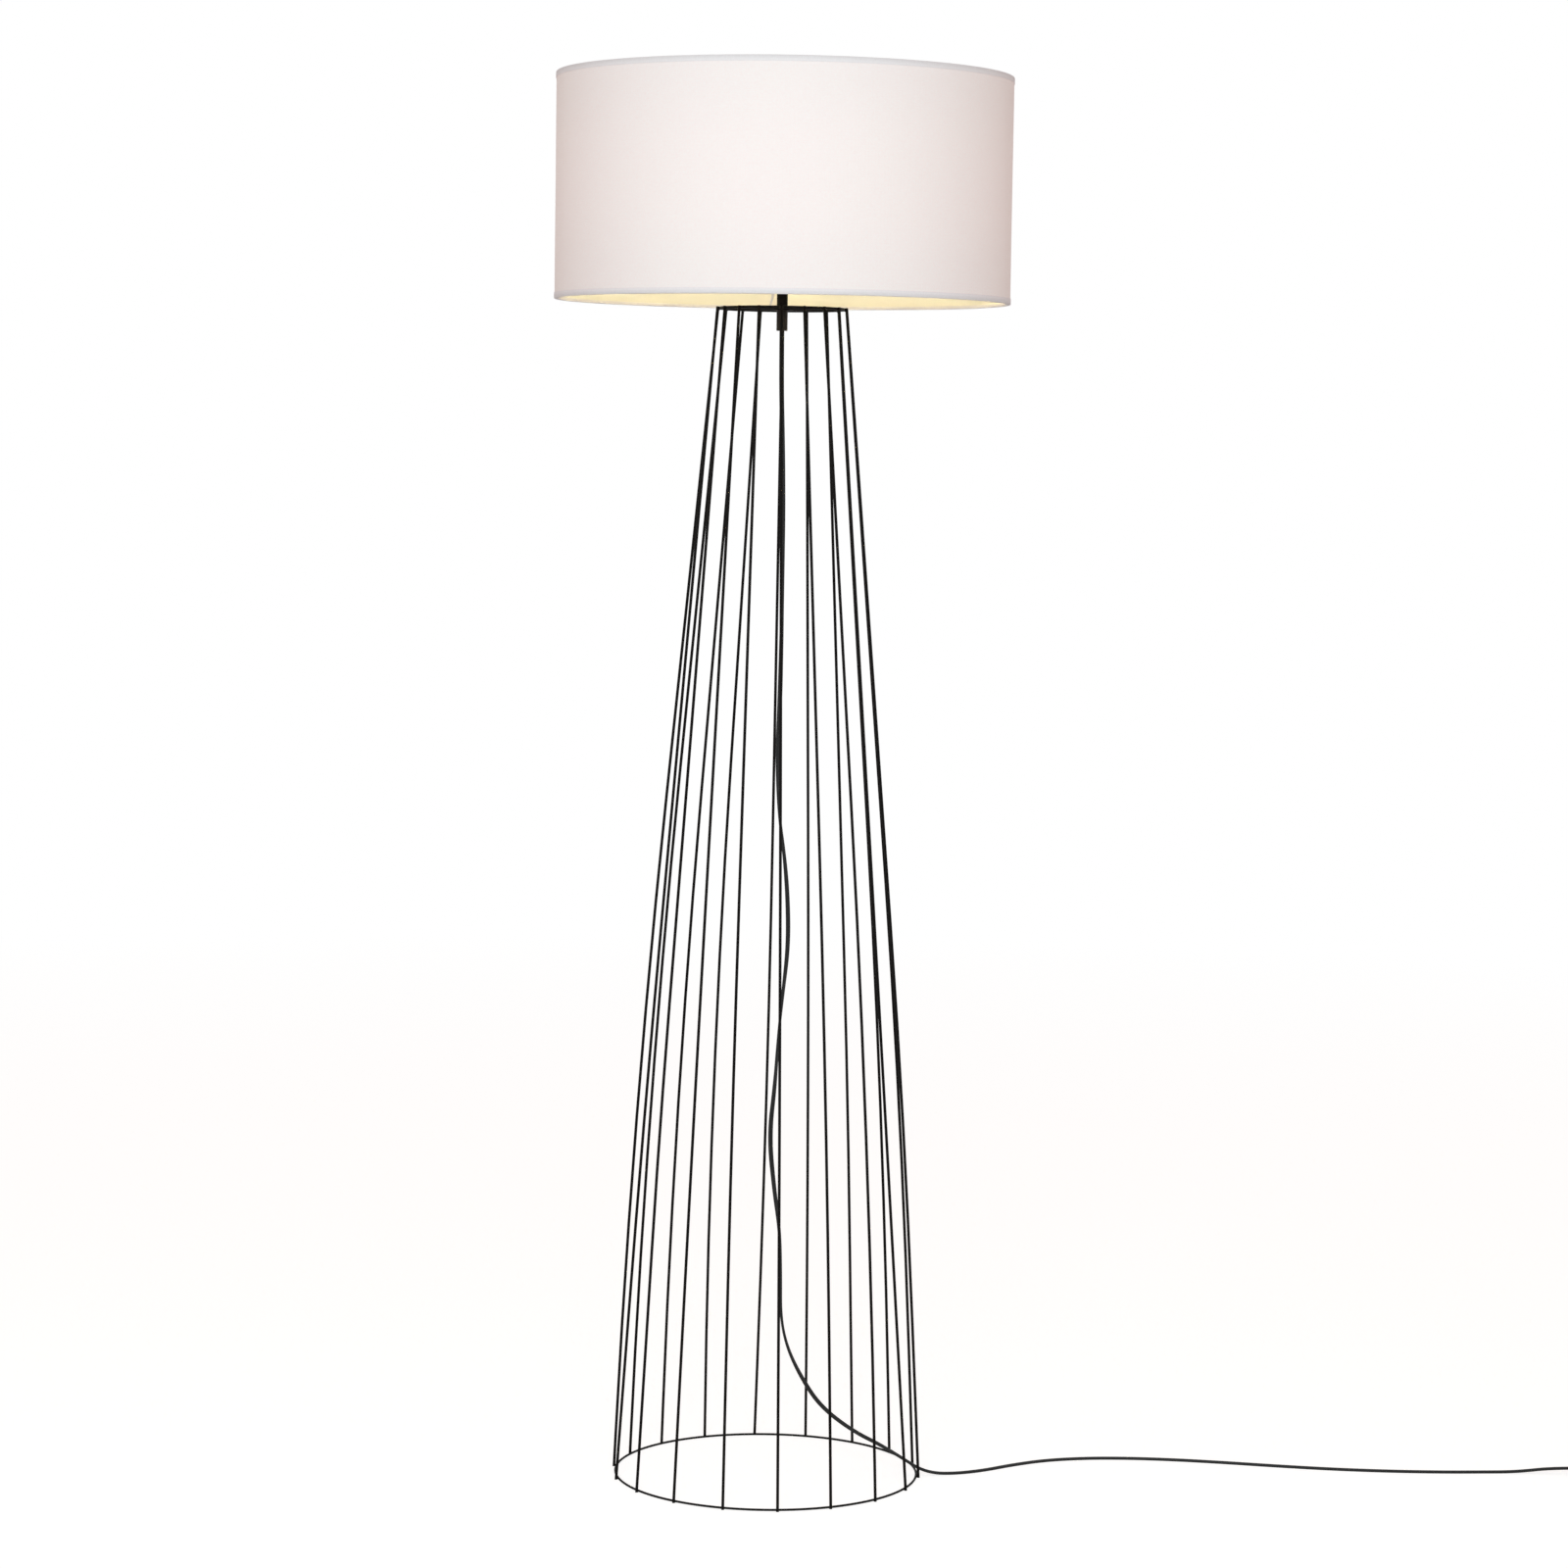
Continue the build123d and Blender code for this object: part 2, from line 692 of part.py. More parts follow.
lead_points = [(0.0, 0.0, cord_start), *lead_route]
lead_radii = bend_radii(lead_points)
print("cord_lead radii", [round(radius) for radius in lead_radii])
print("cord_lead least radius in diameters", round(min(lead_radii) / cord_diameter, 1))
with BuildPart() as cord_lead:
    with BuildLine() as lead_line:
        FilletPolyline(*lead_points, radius=lead_radii)
    with BuildSketch(Plane(origin=lead_line.line @ 0, z_dir=lead_line.line % 0)):
        Circle(cord_diameter / 2)
    sweep(path=lead_line.wires()[0])
save(cord_lead, "cord_lead")
report_tube("cord_lead", cord_lead, lead_line.wires()[0].length)

# Foot switch: base, cover and posts
switch_top = switch_base_height + switch_cover_height
switch_posts = [(post_x, post_y), (-post_x, -post_y)]
switch_plane = Plane(origin=(switch_x, switch_y, 0))
grommet_hole = grommet_narrow / 2 + thread_gap
button_radius = button_diameter / 2
with BuildPart() as switch_base:
    with BuildSketch(switch_plane):
        SlotOverall(switch_length, switch_width)
    extrude(amount=switch_base_height)
    with BuildSketch(switch_plane.offset(switch_wall)):
        SlotOverall(switch_length - 2 * switch_wall, switch_width - 2 * switch_wall)
    extrude(amount=switch_base_height, mode=Mode.SUBTRACT)
    with BuildSketch(switch_plane):
        with Locations(*switch_posts):
            Circle(post_diameter / 2)
    extrude(amount=switch_base_height)
    with BuildSketch(switch_plane):
        with Locations(*switch_posts):
            Circle(switch_screw_diameter / 2 + thread_gap)
    extrude(amount=switch_base_height, mode=Mode.SUBTRACT)
    with BuildSketch(switch_plane):
        with Locations(*switch_posts):
            Circle(switch_screw_head / 2 + thread_gap)
    extrude(amount=switch_head_sink + switch_head_height, mode=Mode.SUBTRACT)
    with BuildSketch(Plane.YZ.offset(switch_x - switch_length)):
        with Locations((switch_y, switch_cord_level)):
            Circle(grommet_hole)
    extrude(amount=2 * switch_length, mode=Mode.SUBTRACT)
    with BuildSketch(switch_plane.offset(switch_wall)):
        Circle(spring_diameter / 2 - 2 * spring_wire)
    extrude(amount=switch_wall)
save(switch_base, "switch_base")

with BuildPart() as switch_cover:
    with BuildSketch(switch_plane.offset(switch_base_height)):
        SlotOverall(switch_length, switch_width)
    extrude(amount=switch_cover_height)
    fillet(switch_cover.edges().group_by(Axis.Z)[-1], switch_edge)
    with BuildSketch(switch_plane.offset(switch_base_height)):
        SlotOverall(switch_length - 2 * switch_wall, switch_width - 2 * switch_wall)
    extrude(amount=switch_cover_height - switch_wall, mode=Mode.SUBTRACT)
    with BuildSketch(switch_plane.offset(switch_base_height)):
        with Locations(*switch_posts):
            Circle(post_diameter / 2)
    extrude(amount=switch_cover_height - switch_wall)
    with BuildSketch(switch_plane.offset(switch_base_height)):
        with Locations(*switch_posts):
            Circle(switch_screw_diameter / 2 + thread_gap)
    extrude(amount=switch_cover_height - 2 * switch_wall, mode=Mode.SUBTRACT)
    with BuildSketch(switch_plane.offset(switch_base_height)):
        Circle(button_radius + button_gap)
    extrude(amount=2 * switch_cover_height, mode=Mode.SUBTRACT)
save(switch_cover, "switch_cover")

# Button with its stem, held down by a flange under the cover
flange_level = switch_top - switch_wall - button_gap - button_flange
button_top = switch_top + button_rise
button_ceiling = button_top - button_wall
with BuildPart() as switch_button:
    with BuildSketch(switch_plane.offset(flange_level)):
        Circle(button_radius + button_flange_width)
    extrude(amount=button_flange)
    with BuildSketch(switch_plane.offset(flange_level)):
        Circle(button_radius)
    extrude(amount=button_top - flange_level)
    fillet(switch_button.edges().group_by(Axis.Z)[-1], button_wall)
    with BuildSketch(switch_plane.offset(flange_level)):
        Circle(button_radius - button_wall)
    extrude(amount=button_ceiling - flange_level, mode=Mode.SUBTRACT)
    with BuildSketch(switch_plane.offset(bridge_level + bridge_thickness)):
        Circle(stem_diameter / 2)
    extrude(amount=button_ceiling - bridge_level - bridge_thickness)
save(switch_button, "switch_button")

# Brass bridge on the stem's end
with BuildPart() as contact_bridge:
    with BuildSketch(switch_plane.offset(bridge_level)):
        Rectangle(bridge_length, stem_diameter)
    extrude(amount=bridge_thickness)
save(contact_bridge, "contact_bridge")

# Return spring between the base and the bridge
spring_room = bridge_level - switch_wall - spring_wire - 2 * weld_gap
with BuildPart() as button_spring:
    with BuildLine() as spring_line:
        Helix(
            pitch=spring_room / spring_turns,
            height=spring_room,
            radius=(spring_diameter - spring_wire) / 2,
            center=(switch_x, switch_y, switch_wall + spring_wire / 2 + weld_gap),
        )
    with BuildSketch(Plane(origin=spring_line.line @ 0, z_dir=spring_line.line % 0)):
        Circle(spring_wire / 2)
    sweep(path=spring_line.wires()[0], is_frenet=True)
save(button_spring, "button_spring")

# Fixed contacts under the bridge's ends
contact_top = bridge_level - button_travel - contact_clearance
with BuildPart() as fixed_contacts:
    with BuildSketch(switch_plane.offset(switch_wall)):
        with Locations((-contact_offset, 0), (contact_offset, 0)):
            Rectangle(contact_length, contact_width)
    extrude(amount=contact_top - switch_wall)
save(fixed_contacts, "fixed_contacts")

# Screws that join the switch's two shells
with BuildPart() as switch_screws:
    with BuildSketch(switch_plane.offset(switch_head_sink)):
        with Locations(*switch_posts):
            Circle(switch_screw_head / 2)
    extrude(amount=switch_head_height)
    with BuildSketch(switch_plane.offset(switch_head_sink)):
        with Locations(*switch_posts):
            Circle(switch_screw_diameter / 2)
    extrude(amount=switch_screw_length)
    with BuildSketch(switch_plane.offset(switch_head_sink)):
        with Locations(*switch_posts):
            Rectangle(switch_screw_head, screw_slot)
            Rectangle(screw_slot, switch_screw_head)
    extrude(amount=switch_head_height / 2, mode=Mode.SUBTRACT)
save(switch_screws, "switch_screws")

# Rubber grommets where the cord passes the base's two ends
half_length = switch_length / 2
end_centre = (switch_length - switch_width) / 2
inner_end = half_length - switch_wall
grommet_bore = cord_diameter / 2 + bore_gap
bore_level = switch_cord_level + grommet_bore
narrow_level = switch_cord_level + grommet_narrow / 2
wide_level = switch_cord_level + grommet_wide / 2
with BuildPart() as cord_grommets:
    with BuildSketch(Plane.XZ.offset(-switch_y)):
        for side in (-1, 1):
            with BuildLine():
                Polyline(
                    (switch_x + side * end_centre, bore_level),
                    (switch_x + side * (half_length + grommet_length), bore_level),
                    (switch_x + side * (half_length + grommet_length), narrow_level),
                    (switch_x + side * half_length, wide_level),
                    (switch_x + side * end_centre, wide_level),
                    close=True,
                )
            make_face()
    revolve(axis=Axis((switch_x, switch_y, switch_cord_level), (1, 0, 0)))
    with BuildSketch(switch_plane):
        SlotOverall(switch_length + 2 * weld_gap, switch_width + 2 * weld_gap)
    extrude(amount=switch_base_height, mode=Mode.SUBTRACT)
    with BuildSketch(Plane.XZ.offset(-switch_y)):
        for side in (-1, 1):
            with BuildLine():
                Polyline(
                    (switch_x + side * inner_end, bore_level),
                    (switch_x + side * (half_length + switch_wall), bore_level),
                    (switch_x + side * (half_length + switch_wall), narrow_level),
                    (switch_x + side * inner_end, narrow_level),
                    close=True,
                )
            make_face()
    revolve(axis=Axis((switch_x, switch_y, switch_cord_level), (1, 0, 0)))
save(cord_grommets, "cord_grommets")

# Cores inside the switch: one cut at the contacts, one that runs past them
core_half = core_spacing / 2
contact_edge = contact_offset + contact_length / 2
with BuildPart() as switch_cores:
    for side in (-1, 1):
        with BuildSketch(Plane.YZ.offset(switch_x + side * contact_edge)):
            with Locations((switch_y + core_half, switch_cord_level)):
                Circle(core_diameter / 2)
        extrude(amount=side * (inner_end - contact_edge))
    with BuildLine(switch_plane.offset(switch_cord_level)) as bypass_line:
        FilletPolyline(
            (-inner_end, -core_half),
            (-inner_end + core_straight, -core_half),
            (-contact_edge, -core_bypass),
            (contact_edge, -core_bypass),
            (inner_end - core_straight, -core_half),
            (inner_end, -core_half),
            radius=core_bend_radius,
        )
    with BuildSketch(Plane(origin=bypass_line.line @ 0, z_dir=bypass_line.line % 0)):
        Circle(core_diameter / 2)
    sweep(path=bypass_line.wires()[0])
save(switch_cores, "switch_cores")

# Coil: half turns that spiral in on the floor, climb and spiral out again on top
lower_level = cord_diameter / 2 + tie_thickness + weld_gap
upper_level = lower_level + coil_pitch
layer_radii = [coil_radius - number * coil_pitch / 2 for number in range(coil_half_turns)]
climb_radius = coil_radius - coil_half_turns * coil_pitch / 2
relief_end = plug_distance + relief_length
plug_level = plug_thickness / 2


def half_turn_ends(radii, start_y, heading):
    """Where each half turn of these radii ends, and which way it heads there."""
    ends = []
    y = start_y
    for radius in radii:
        y = y - heading * 2 * radius
        heading = -heading
        ends.append((y, heading))
    return ends


lower_ends = half_turn_ends(layer_radii, switch_y, 1)
climb_start_y, climb_heading = lower_ends[-1]
climb_end_y = climb_start_y - climb_heading * 2 * climb_radius
upper_ends = half_turn_ends(layer_radii[::-1], climb_end_y, -climb_heading)
exit_y = upper_ends[-1][0]
climb_bulge = math.sqrt(climb_radius**2 + coil_pitch**2 / 4)
climb_middle = (
    coil_x + climb_heading * climb_bulge,
    (climb_start_y + climb_end_y) / 2,
    (lower_level + upper_level) / 2,
)
entry_x = switch_x + inner_end
entry_points = [
    (entry_x, switch_y, switch_cord_level),
    (entry_x + coil_entry[0], switch_y, switch_cord_level),
    (entry_x + coil_entry[1], switch_y, lower_level),
    (coil_x, switch_y, lower_level),
]
exit_points = [
    (coil_x, exit_y, upper_level),
    (coil_x - coil_exit[0], exit_y, upper_level),
    (coil_x - coil_exit[1], exit_y, plug_level),
    (coil_x - relief_end, exit_y, plug_level),
]
with BuildPart() as cord_coil:
    with BuildLine() as coil_line:
        FilletPolyline(*entry_points, radius=bend_radii(entry_points))
        turn_start = Vector(coil_x, switch_y, lower_level)
        heading = 1
        for end_y, next_heading in lower_ends:
            turn_end = Vector(coil_x, end_y, lower_level)
            TangentArc(turn_start, turn_end, tangent=(heading, 0, 0))
            turn_start = turn_end
            heading = next_heading
        climb_one = TangentArc(turn_start, climb_middle, tangent=(heading, 0, 0))
        turn_end = Vector(coil_x, climb_end_y, upper_level)
        TangentArc(climb_middle, turn_end, tangent=climb_one % 1)
        turn_start = turn_end
        heading = -heading
        for end_y, next_heading in upper_ends:
            turn_end = Vector(coil_x, end_y, upper_level)
            TangentArc(turn_start, turn_end, tangent=(heading, 0, 0))
            turn_start = turn_end
            heading = next_heading
        FilletPolyline(*exit_points, radius=bend_radii(exit_points))
    with BuildSketch(Plane(origin=entry_points[0], z_dir=(1, 0, 0))):
        Circle(cord_diameter / 2)
    sweep(path=coil_line.wires()[0])
save(cord_coil, "cord_coil")
coil_wire = coil_line.wires()[0]
report_tube("cord_coil", cord_coil, coil_wire.length)


def least_gap(wire, thickness, step):
    """The least clear space between parts of a tube that lie over a quarter turn apart along it."""
    count = int(wire.length / step)
    points = [wire.position_at(number / count) for number in range(count + 1)]
    apart = int(math.pi * climb_radius / 2 / step) + 1
    least = math.inf
    for number, point in enumerate(points):
        for other in points[number + apart :]:
            across = (point.X - other.X) ** 2 + (point.Y - other.Y) ** 2
            least = min(least, across + (point.Z - other.Z) ** 2)
    return math.sqrt(least) - thickness


print("cord_coil least gap to itself", round(least_gap(coil_wire, cord_diameter, probe_step), 2))

# Tie round the coil's bundle of turns, on the side away from the switch
tie_reach = (tie_width + coil_pitch) / 2
tie_inside = math.sqrt(layer_radii[-1] ** 2 - tie_reach**2) - cord_diameter / 2 - tie_gap
tie_outside = coil_radius + cord_diameter / 2 + tie_gap
tie_room = upper_level + cord_diameter / 2 + tie_gap
tie_middle = coil_x + (tie_inside + tie_outside) / 2
tie_y = (switch_y + exit_y) / 2
with BuildPart() as coil_tie:
    with BuildSketch(Plane.XZ.offset(-tie_y - tie_width / 2)):
        with Locations((tie_middle, (tie_room + tie_thickness) / 2)):
            RectangleRounded(
                tie_outside - tie_inside + 2 * tie_thickness, tie_room + tie_thickness, 2 * tie_thickness
            )
        with Locations((tie_middle, (tie_room + tie_thickness) / 2)):
            RectangleRounded(
                tie_outside - tie_inside, tie_room - tie_thickness, tie_thickness, mode=Mode.SUBTRACT
            )
    extrude(amount=tie_width)
save(coil_tie, "coil_tie")

# Plug: moulded body with its tapered relief, and two pins
plug_back = coil_x - relief_end
plug_front = plug_back - plug_length
with BuildPart() as plug_body:
    with BuildSketch(Plane.YZ.offset(plug_front)):
        with Locations((exit_y, plug_level)):
            RectangleRounded(plug_width, plug_thickness, plug_corner)
    with BuildSketch(Plane.YZ.offset(plug_front + plug_length / 2)):
        with Locations((exit_y, plug_level)):
            RectangleRounded(plug_width, plug_thickness, plug_corner)
    loft()
    with BuildSketch(Plane.YZ.offset(plug_front + plug_length / 2)):
        with Locations((exit_y, plug_level)):
            RectangleRounded(plug_width, plug_thickness, plug_corner)
    with BuildSketch(Plane.YZ.offset(plug_back)):
        with Locations((exit_y, plug_level)):
            RectangleRounded(plug_waist, plug_waist, plug_corner)
    loft()
    with BuildSketch(Plane.YZ.offset(plug_back)):
        with Locations((exit_y, plug_level)):
            Circle(relief_wide / 2)
    with BuildSketch(Plane.YZ.offset(plug_back + relief_length)):
        with Locations((exit_y, plug_level)):
            Circle(relief_narrow / 2)
    loft()
    with BuildSketch(Plane.YZ.offset(plug_back)):
        with Locations((exit_y, plug_level)):
            Circle(grommet_bore)
    extrude(amount=relief_length, mode=Mode.SUBTRACT)
    with BuildSketch(Plane.YZ.offset(plug_front)):
        with Locations((exit_y - pin_spacing / 2, plug_level), (exit_y + pin_spacing / 2, plug_level)):
            Circle(pin_diameter / 2)
    extrude(amount=pin_root, mode=Mode.SUBTRACT)
save(plug_body, "plug_body")

with BuildPart() as plug_pins:
    with BuildSketch(Plane.YZ.offset(plug_front + pin_root)):
        with Locations((exit_y - pin_spacing / 2, plug_level), (exit_y + pin_spacing / 2, plug_level)):
            Circle(pin_diameter / 2)
    extrude(amount=-pin_root - pin_length)
    fillet(plug_pins.edges().group_by(Axis.X)[0], pin_round)
save(plug_pins, "plug_pins")
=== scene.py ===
# Fabric shade floor lamp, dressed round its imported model. Metres: +Z is up and -Y is the front.
import math

import bpy
from mathutils import Euler, Matrix, Vector, noise


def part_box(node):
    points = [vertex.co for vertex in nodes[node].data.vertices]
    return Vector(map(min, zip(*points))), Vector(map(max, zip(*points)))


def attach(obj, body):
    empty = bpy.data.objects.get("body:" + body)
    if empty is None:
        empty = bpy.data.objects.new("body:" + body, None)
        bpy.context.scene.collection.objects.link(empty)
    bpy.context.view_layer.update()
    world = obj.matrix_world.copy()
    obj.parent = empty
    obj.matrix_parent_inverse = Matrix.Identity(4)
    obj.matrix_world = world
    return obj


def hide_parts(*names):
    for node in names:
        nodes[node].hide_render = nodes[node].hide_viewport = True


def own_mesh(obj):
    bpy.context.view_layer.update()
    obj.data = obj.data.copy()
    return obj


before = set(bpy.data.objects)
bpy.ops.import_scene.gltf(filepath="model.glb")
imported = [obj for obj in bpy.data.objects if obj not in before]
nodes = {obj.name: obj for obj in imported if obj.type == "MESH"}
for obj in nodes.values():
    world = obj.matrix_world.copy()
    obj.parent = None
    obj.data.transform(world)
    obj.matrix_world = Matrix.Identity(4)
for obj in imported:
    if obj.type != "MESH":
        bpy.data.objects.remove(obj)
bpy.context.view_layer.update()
bpy.ops.object.select_all(action="DESELECT")

# Camera, as far away and as low as the photograph's: it looks down by under five degrees from
# between the waist of the cage and the shade, and is turned very slightly in the frame.
CAMERA_PLACE = (0.0619, -4.496, 1.1537)
CAMERA_TILT = math.radians(85.187)
CAMERA_TURN = math.radians(0.668)
CAMERA_ROLL = math.radians(0.83)
bpy.ops.object.camera_add(location=CAMERA_PLACE)
camera = bpy.context.object
aim = Euler((CAMERA_TILT, 0, CAMERA_TURN)).to_matrix()
camera.rotation_euler = (aim @ Matrix.Rotation(CAMERA_ROLL, 3, "Z")).to_euler()
camera.data.sensor_width = 36
camera.data.lens = 93.6
bpy.context.scene.camera = camera
bpy.context.scene.view_settings.view_transform = "Standard"


# Studio: a white surround and one large soft lamp in front of the shade. Rays from the camera and
# from gloss see plain white, and the object itself is lit at a lower level.
def node(tree, kind, inputs=(), **settings):
    """Adds a shader node, sets its properties, and fills or links its inputs."""
    made = tree.nodes.new("ShaderNode" + kind)
    for key, value in settings.items():
        setattr(made, key, value)
    for key, value in dict(inputs).items():
        if isinstance(value, bpy.types.NodeSocket):
            tree.links.new(value, made.inputs[key])
        else:
            made.inputs[key].default_value = value
    return made


def seen_directly(tree):
    """1 for rays from the camera or through gloss and glass, and 0 for the light on the object."""
    rays = node(tree, "LightPath").outputs
    camera_or_gloss = {0: rays["Is Camera Ray"], 1: rays["Is Glossy Ray"]}
    seen = node(tree, "Math", camera_or_gloss, operation="MAXIMUM").outputs[0]
    through = {0: seen, 1: rays["Is Transmission Ray"]}
    return node(tree, "Math", through, operation="MAXIMUM").outputs[0]


ROOM_LIGHT = (0.47, 0.39, 0.36, 1)
WHITE = (1, 1, 1, 1)
world = bpy.data.worlds.new("studio")
bpy.context.scene.world = world
world.use_nodes = True
surround = world.node_tree
level = node(surround, "Mix", {"Factor": seen_directly(surround)}, data_type="RGBA")
level.inputs[6].default_value = ROOM_LIGHT
level.inputs[7].default_value = WHITE
surround.links.new(level.outputs[2], surround.nodes["Background"].inputs["Color"])


def soft_lamp(name, place, target, size, power, tint):
    """A square soft lamp at a place, turned to face a target."""
    bpy.ops.object.light_add(type="AREA", location=place)
    lamp = bpy.context.object
    lamp.name = name
    lamp.rotation_euler = (Vector(target) - Vector(place)).to_track_quat("-Z", "Y").to_euler()
    lamp.data.size = size
    lamp.data.energy = power
    lamp.data.color = tint


DAYLIGHT = (0.76, 0.95, 1.0)
soft_lamp("lamp_front", (-0.15, -3.8, 2.0), (0, 0, 1.2), 1.6, 70, DAYLIGHT)

# Floor: one pale sheet that keeps the lamp's shadow. For the camera most of its brightness is its
# own near the lamp, and all of it further out, so that it runs into the white surround unseen.
bpy.ops.mesh.primitive_plane_add(size=60)
floor = bpy.context.object
floor.name = "floor"
floor_paper = bpy.data.materials.new("floor_paper")
floor_paper.use_nodes = True
tree = floor_paper.node_tree
tree.nodes.remove(tree.nodes["Principled BSDF"])
lit_part = node(tree, "BsdfDiffuse", {"Color": (0.8, 0.8, 0.8, 1)})
near_lit = node(tree, "BsdfDiffuse", {"Color": (0.5, 0.5, 0.5, 1)})
near_own = node(tree, "Emission", {"Color": (0.75, 0.75, 0.75, 1)})
near = node(tree, "AddShader", {0: near_lit.outputs[0], 1: near_own.outputs[0]})
far = node(tree, "Emission", {"Color": WHITE})
out_by = node(tree, "VectorMath", {0: node(tree, "TexCoord").outputs["Object"]}, operation="LENGTH")
fade_range = {"Value": out_by.outputs["Value"], "From Min": 1.0, "From Max": 5.0}
fade = node(tree, "MapRange", fade_range)
seen = node(tree, "MixShader", {0: fade.outputs[0], 1: near.outputs[0], 2: far.outputs[0]})
whole_inputs = {0: seen_directly(tree), 1: lit_part.outputs[0], 2: seen.outputs[0]}
whole = node(tree, "MixShader", whole_inputs)
tree.links.new(whole.outputs[0], tree.nodes["Material Output"].inputs["Surface"])
floor.data.materials.append(floor_paper)


# Cord: flat twin flex in black PVC, two cores side by side with a groove between them. It hangs
# from the grip inside the cage, turns over as it falls, crosses the base ring and runs off right.
def principled(name, roughness, metallic=0.0, specular=0.5):
    """A material and its tree, shader and Object coordinates."""
    made = bpy.data.materials.new(name)
    made.use_nodes = True
    shader = made.node_tree.nodes["Principled BSDF"]
    shader.inputs["Roughness"].default_value = roughness
    shader.inputs["Metallic"].default_value = metallic
    shader.inputs["Specular IOR Level"].default_value = specular
    place = node(made.node_tree, "TexCoord").outputs["Object"]
    return made, made.node_tree, shader, place


def mottle(tree, place, scale, one, other, detail=3.0):
    """A colour that drifts between two tones."""
    cloud = node(tree, "TexNoise", {"Vector": place, "Scale": scale, "Detail": detail})
    ramp = node(tree, "MapRange", {"Value": cloud.outputs["Fac"], "From Min": 0.3, "From Max": 0.7})
    mix = node(tree, "Mix", {"Factor": ramp.outputs["Result"]}, data_type="RGBA")
    mix.inputs[6].default_value = (*one, 1)
    mix.inputs[7].default_value = (*other, 1)
    return mix.outputs[2]


def grain(tree, shader, place, scale, depth, strength=0.5, detail=2.0):
    """A fine bump, as deep as it says in metres."""
    cloud = node(tree, "TexNoise", {"Vector": place, "Scale": scale, "Detail": detail})
    bump = node(tree, "Bump", {"Height": cloud.outputs["Fac"], "Distance": depth, "Strength": strength})
    tree.links.new(bump.outputs["Normal"], shader.inputs["Normal"])
    return cloud.outputs["Fac"]


def uneven_gloss(tree, shader, fac, low, high):
    """Roughness that follows a pattern between two values."""
    ramp = node(tree, "MapRange", {"Value": fac, "To Min": low, "To Max": high})
    tree.links.new(ramp.outputs["Result"], shader.inputs["Roughness"])


def mottled(name, one, other, spread, grain_scale, grain_depth, gloss, metallic=0.0, specular=0.5):
    """A finish of two drifting tones with a fine grain and uneven gloss."""
    made, tree, shader, place = principled(name, gloss[0], metallic, specular)
    tree.links.new(mottle(tree, place, spread, one, other), shader.inputs["Base Color"])
    fac = grain(tree, shader, place, grain_scale, grain_depth)
    uneven_gloss(tree, shader, fac, *gloss)
    return made


def dress(piece, body, material):
    """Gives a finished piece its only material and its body."""
    piece.data.materials.clear()
    piece.data.materials.append(material)
    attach(piece, body)
    return piece


def dress_nodes(material, slot, *names):
    """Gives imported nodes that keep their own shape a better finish."""
    for name in names:
        nodes[name].data.materials.clear()
        nodes[name].data.materials.append(material)


flex_black = mottled("flex_black", (0.005, 0.005, 0.005), (0.009, 0.0085, 0.008), 60, 900, 0.00008,
                     (0.42, 0.55), specular=0.25)

FLEX_WIDTH = 0.0054
FLEX_THICK = 0.0030
LOBE_POINTS = 10


def smooth_line(name, points, steps):
    """Points along the one smooth spline that the route's points control."""
    curve = bpy.data.curves.new(name, "CURVE")
    curve.dimensions = "3D"
    curve.resolution_u = steps
    spline = curve.splines.new("NURBS")
    spline.points.add(len(points) - 1)
    for control, point in zip(spline.points, points):
        control.co = (*point, 1)
    spline.order_u = 3
    spline.use_endpoint_u = True
    holder = bpy.data.objects.new(name, curve)
    line = bpy.data.meshes.new_from_object(holder)
    path = [vertex.co.copy() for vertex in line.vertices]
    bpy.data.objects.remove(holder)
    bpy.data.curves.remove(curve)
    bpy.data.meshes.remove(line)
    return path


def flex_outline():
    """The flex's section: two round lobes that meet in a groove."""
    lobe = FLEX_THICK / 2
    middle = FLEX_WIDTH / 2 - lobe
    groove = math.acos(middle / lobe)
    sweep = math.pi - groove
    turns = [sweep - 2 * sweep * k / (LOBE_POINTS - 1) for k in range(LOBE_POINTS)]
    right = [(middle + lobe * math.cos(turn), lobe * math.sin(turn)) for turn in turns]
    return right + [(-across, -up) for across, up in right]


def flex(name, path, rolls):
    """Sweeps the flex's section along a path, rolled at each point, with closed ends."""
    outline = flex_outline()
    corners = []
    for number, point in enumerate(path):
        ahead = path[min(number + 1, len(path) - 1)] - path[max(number - 1, 0)]
        ahead.normalize()
        across = Vector((0, -1, 0)) if abs(ahead.z) > 0.2 else ahead.cross(Vector((0, 0, 1)))
        across = (across - ahead * across.dot(ahead)).normalized()
        across = Matrix.Rotation(math.radians(rolls(number)), 3, ahead) @ across
        up = across.cross(ahead)
        corners += [point + across * a + up * b for a, b in outline]
    # Faces between each ring of corners and the next, and one at each end
    count = len(outline)
    faces = []
    for ring in range(len(path) - 1):
        for k in range(count):
            near = ring * count + k
            far = ring * count + (k + 1) % count
            faces.append((near, far, far + count, near + count))
    faces.append(tuple(range(count))[::-1])
    faces.append(tuple(range(len(corners) - count, len(corners))))
    mesh = bpy.data.meshes.new(name)
    mesh.from_pydata([tuple(corner) for corner in corners], [], faces)
    piece = bpy.data.objects.new(name, mesh)
    bpy.context.scene.collection.objects.link(piece)
    bpy.context.view_layer.objects.active = piece
    piece.select_set(True)
    bpy.ops.object.mode_set(mode="EDIT")
    bpy.ops.mesh.select_all(action="SELECT")
    bpy.ops.mesh.normals_make_consistent(inside=False)
    bpy.ops.object.mode_set(mode="OBJECT")
    bpy.ops.object.shade_smooth_by_angle(angle=math.radians(50))
    bpy.ops.object.select_all(action="DESELECT")
    return piece


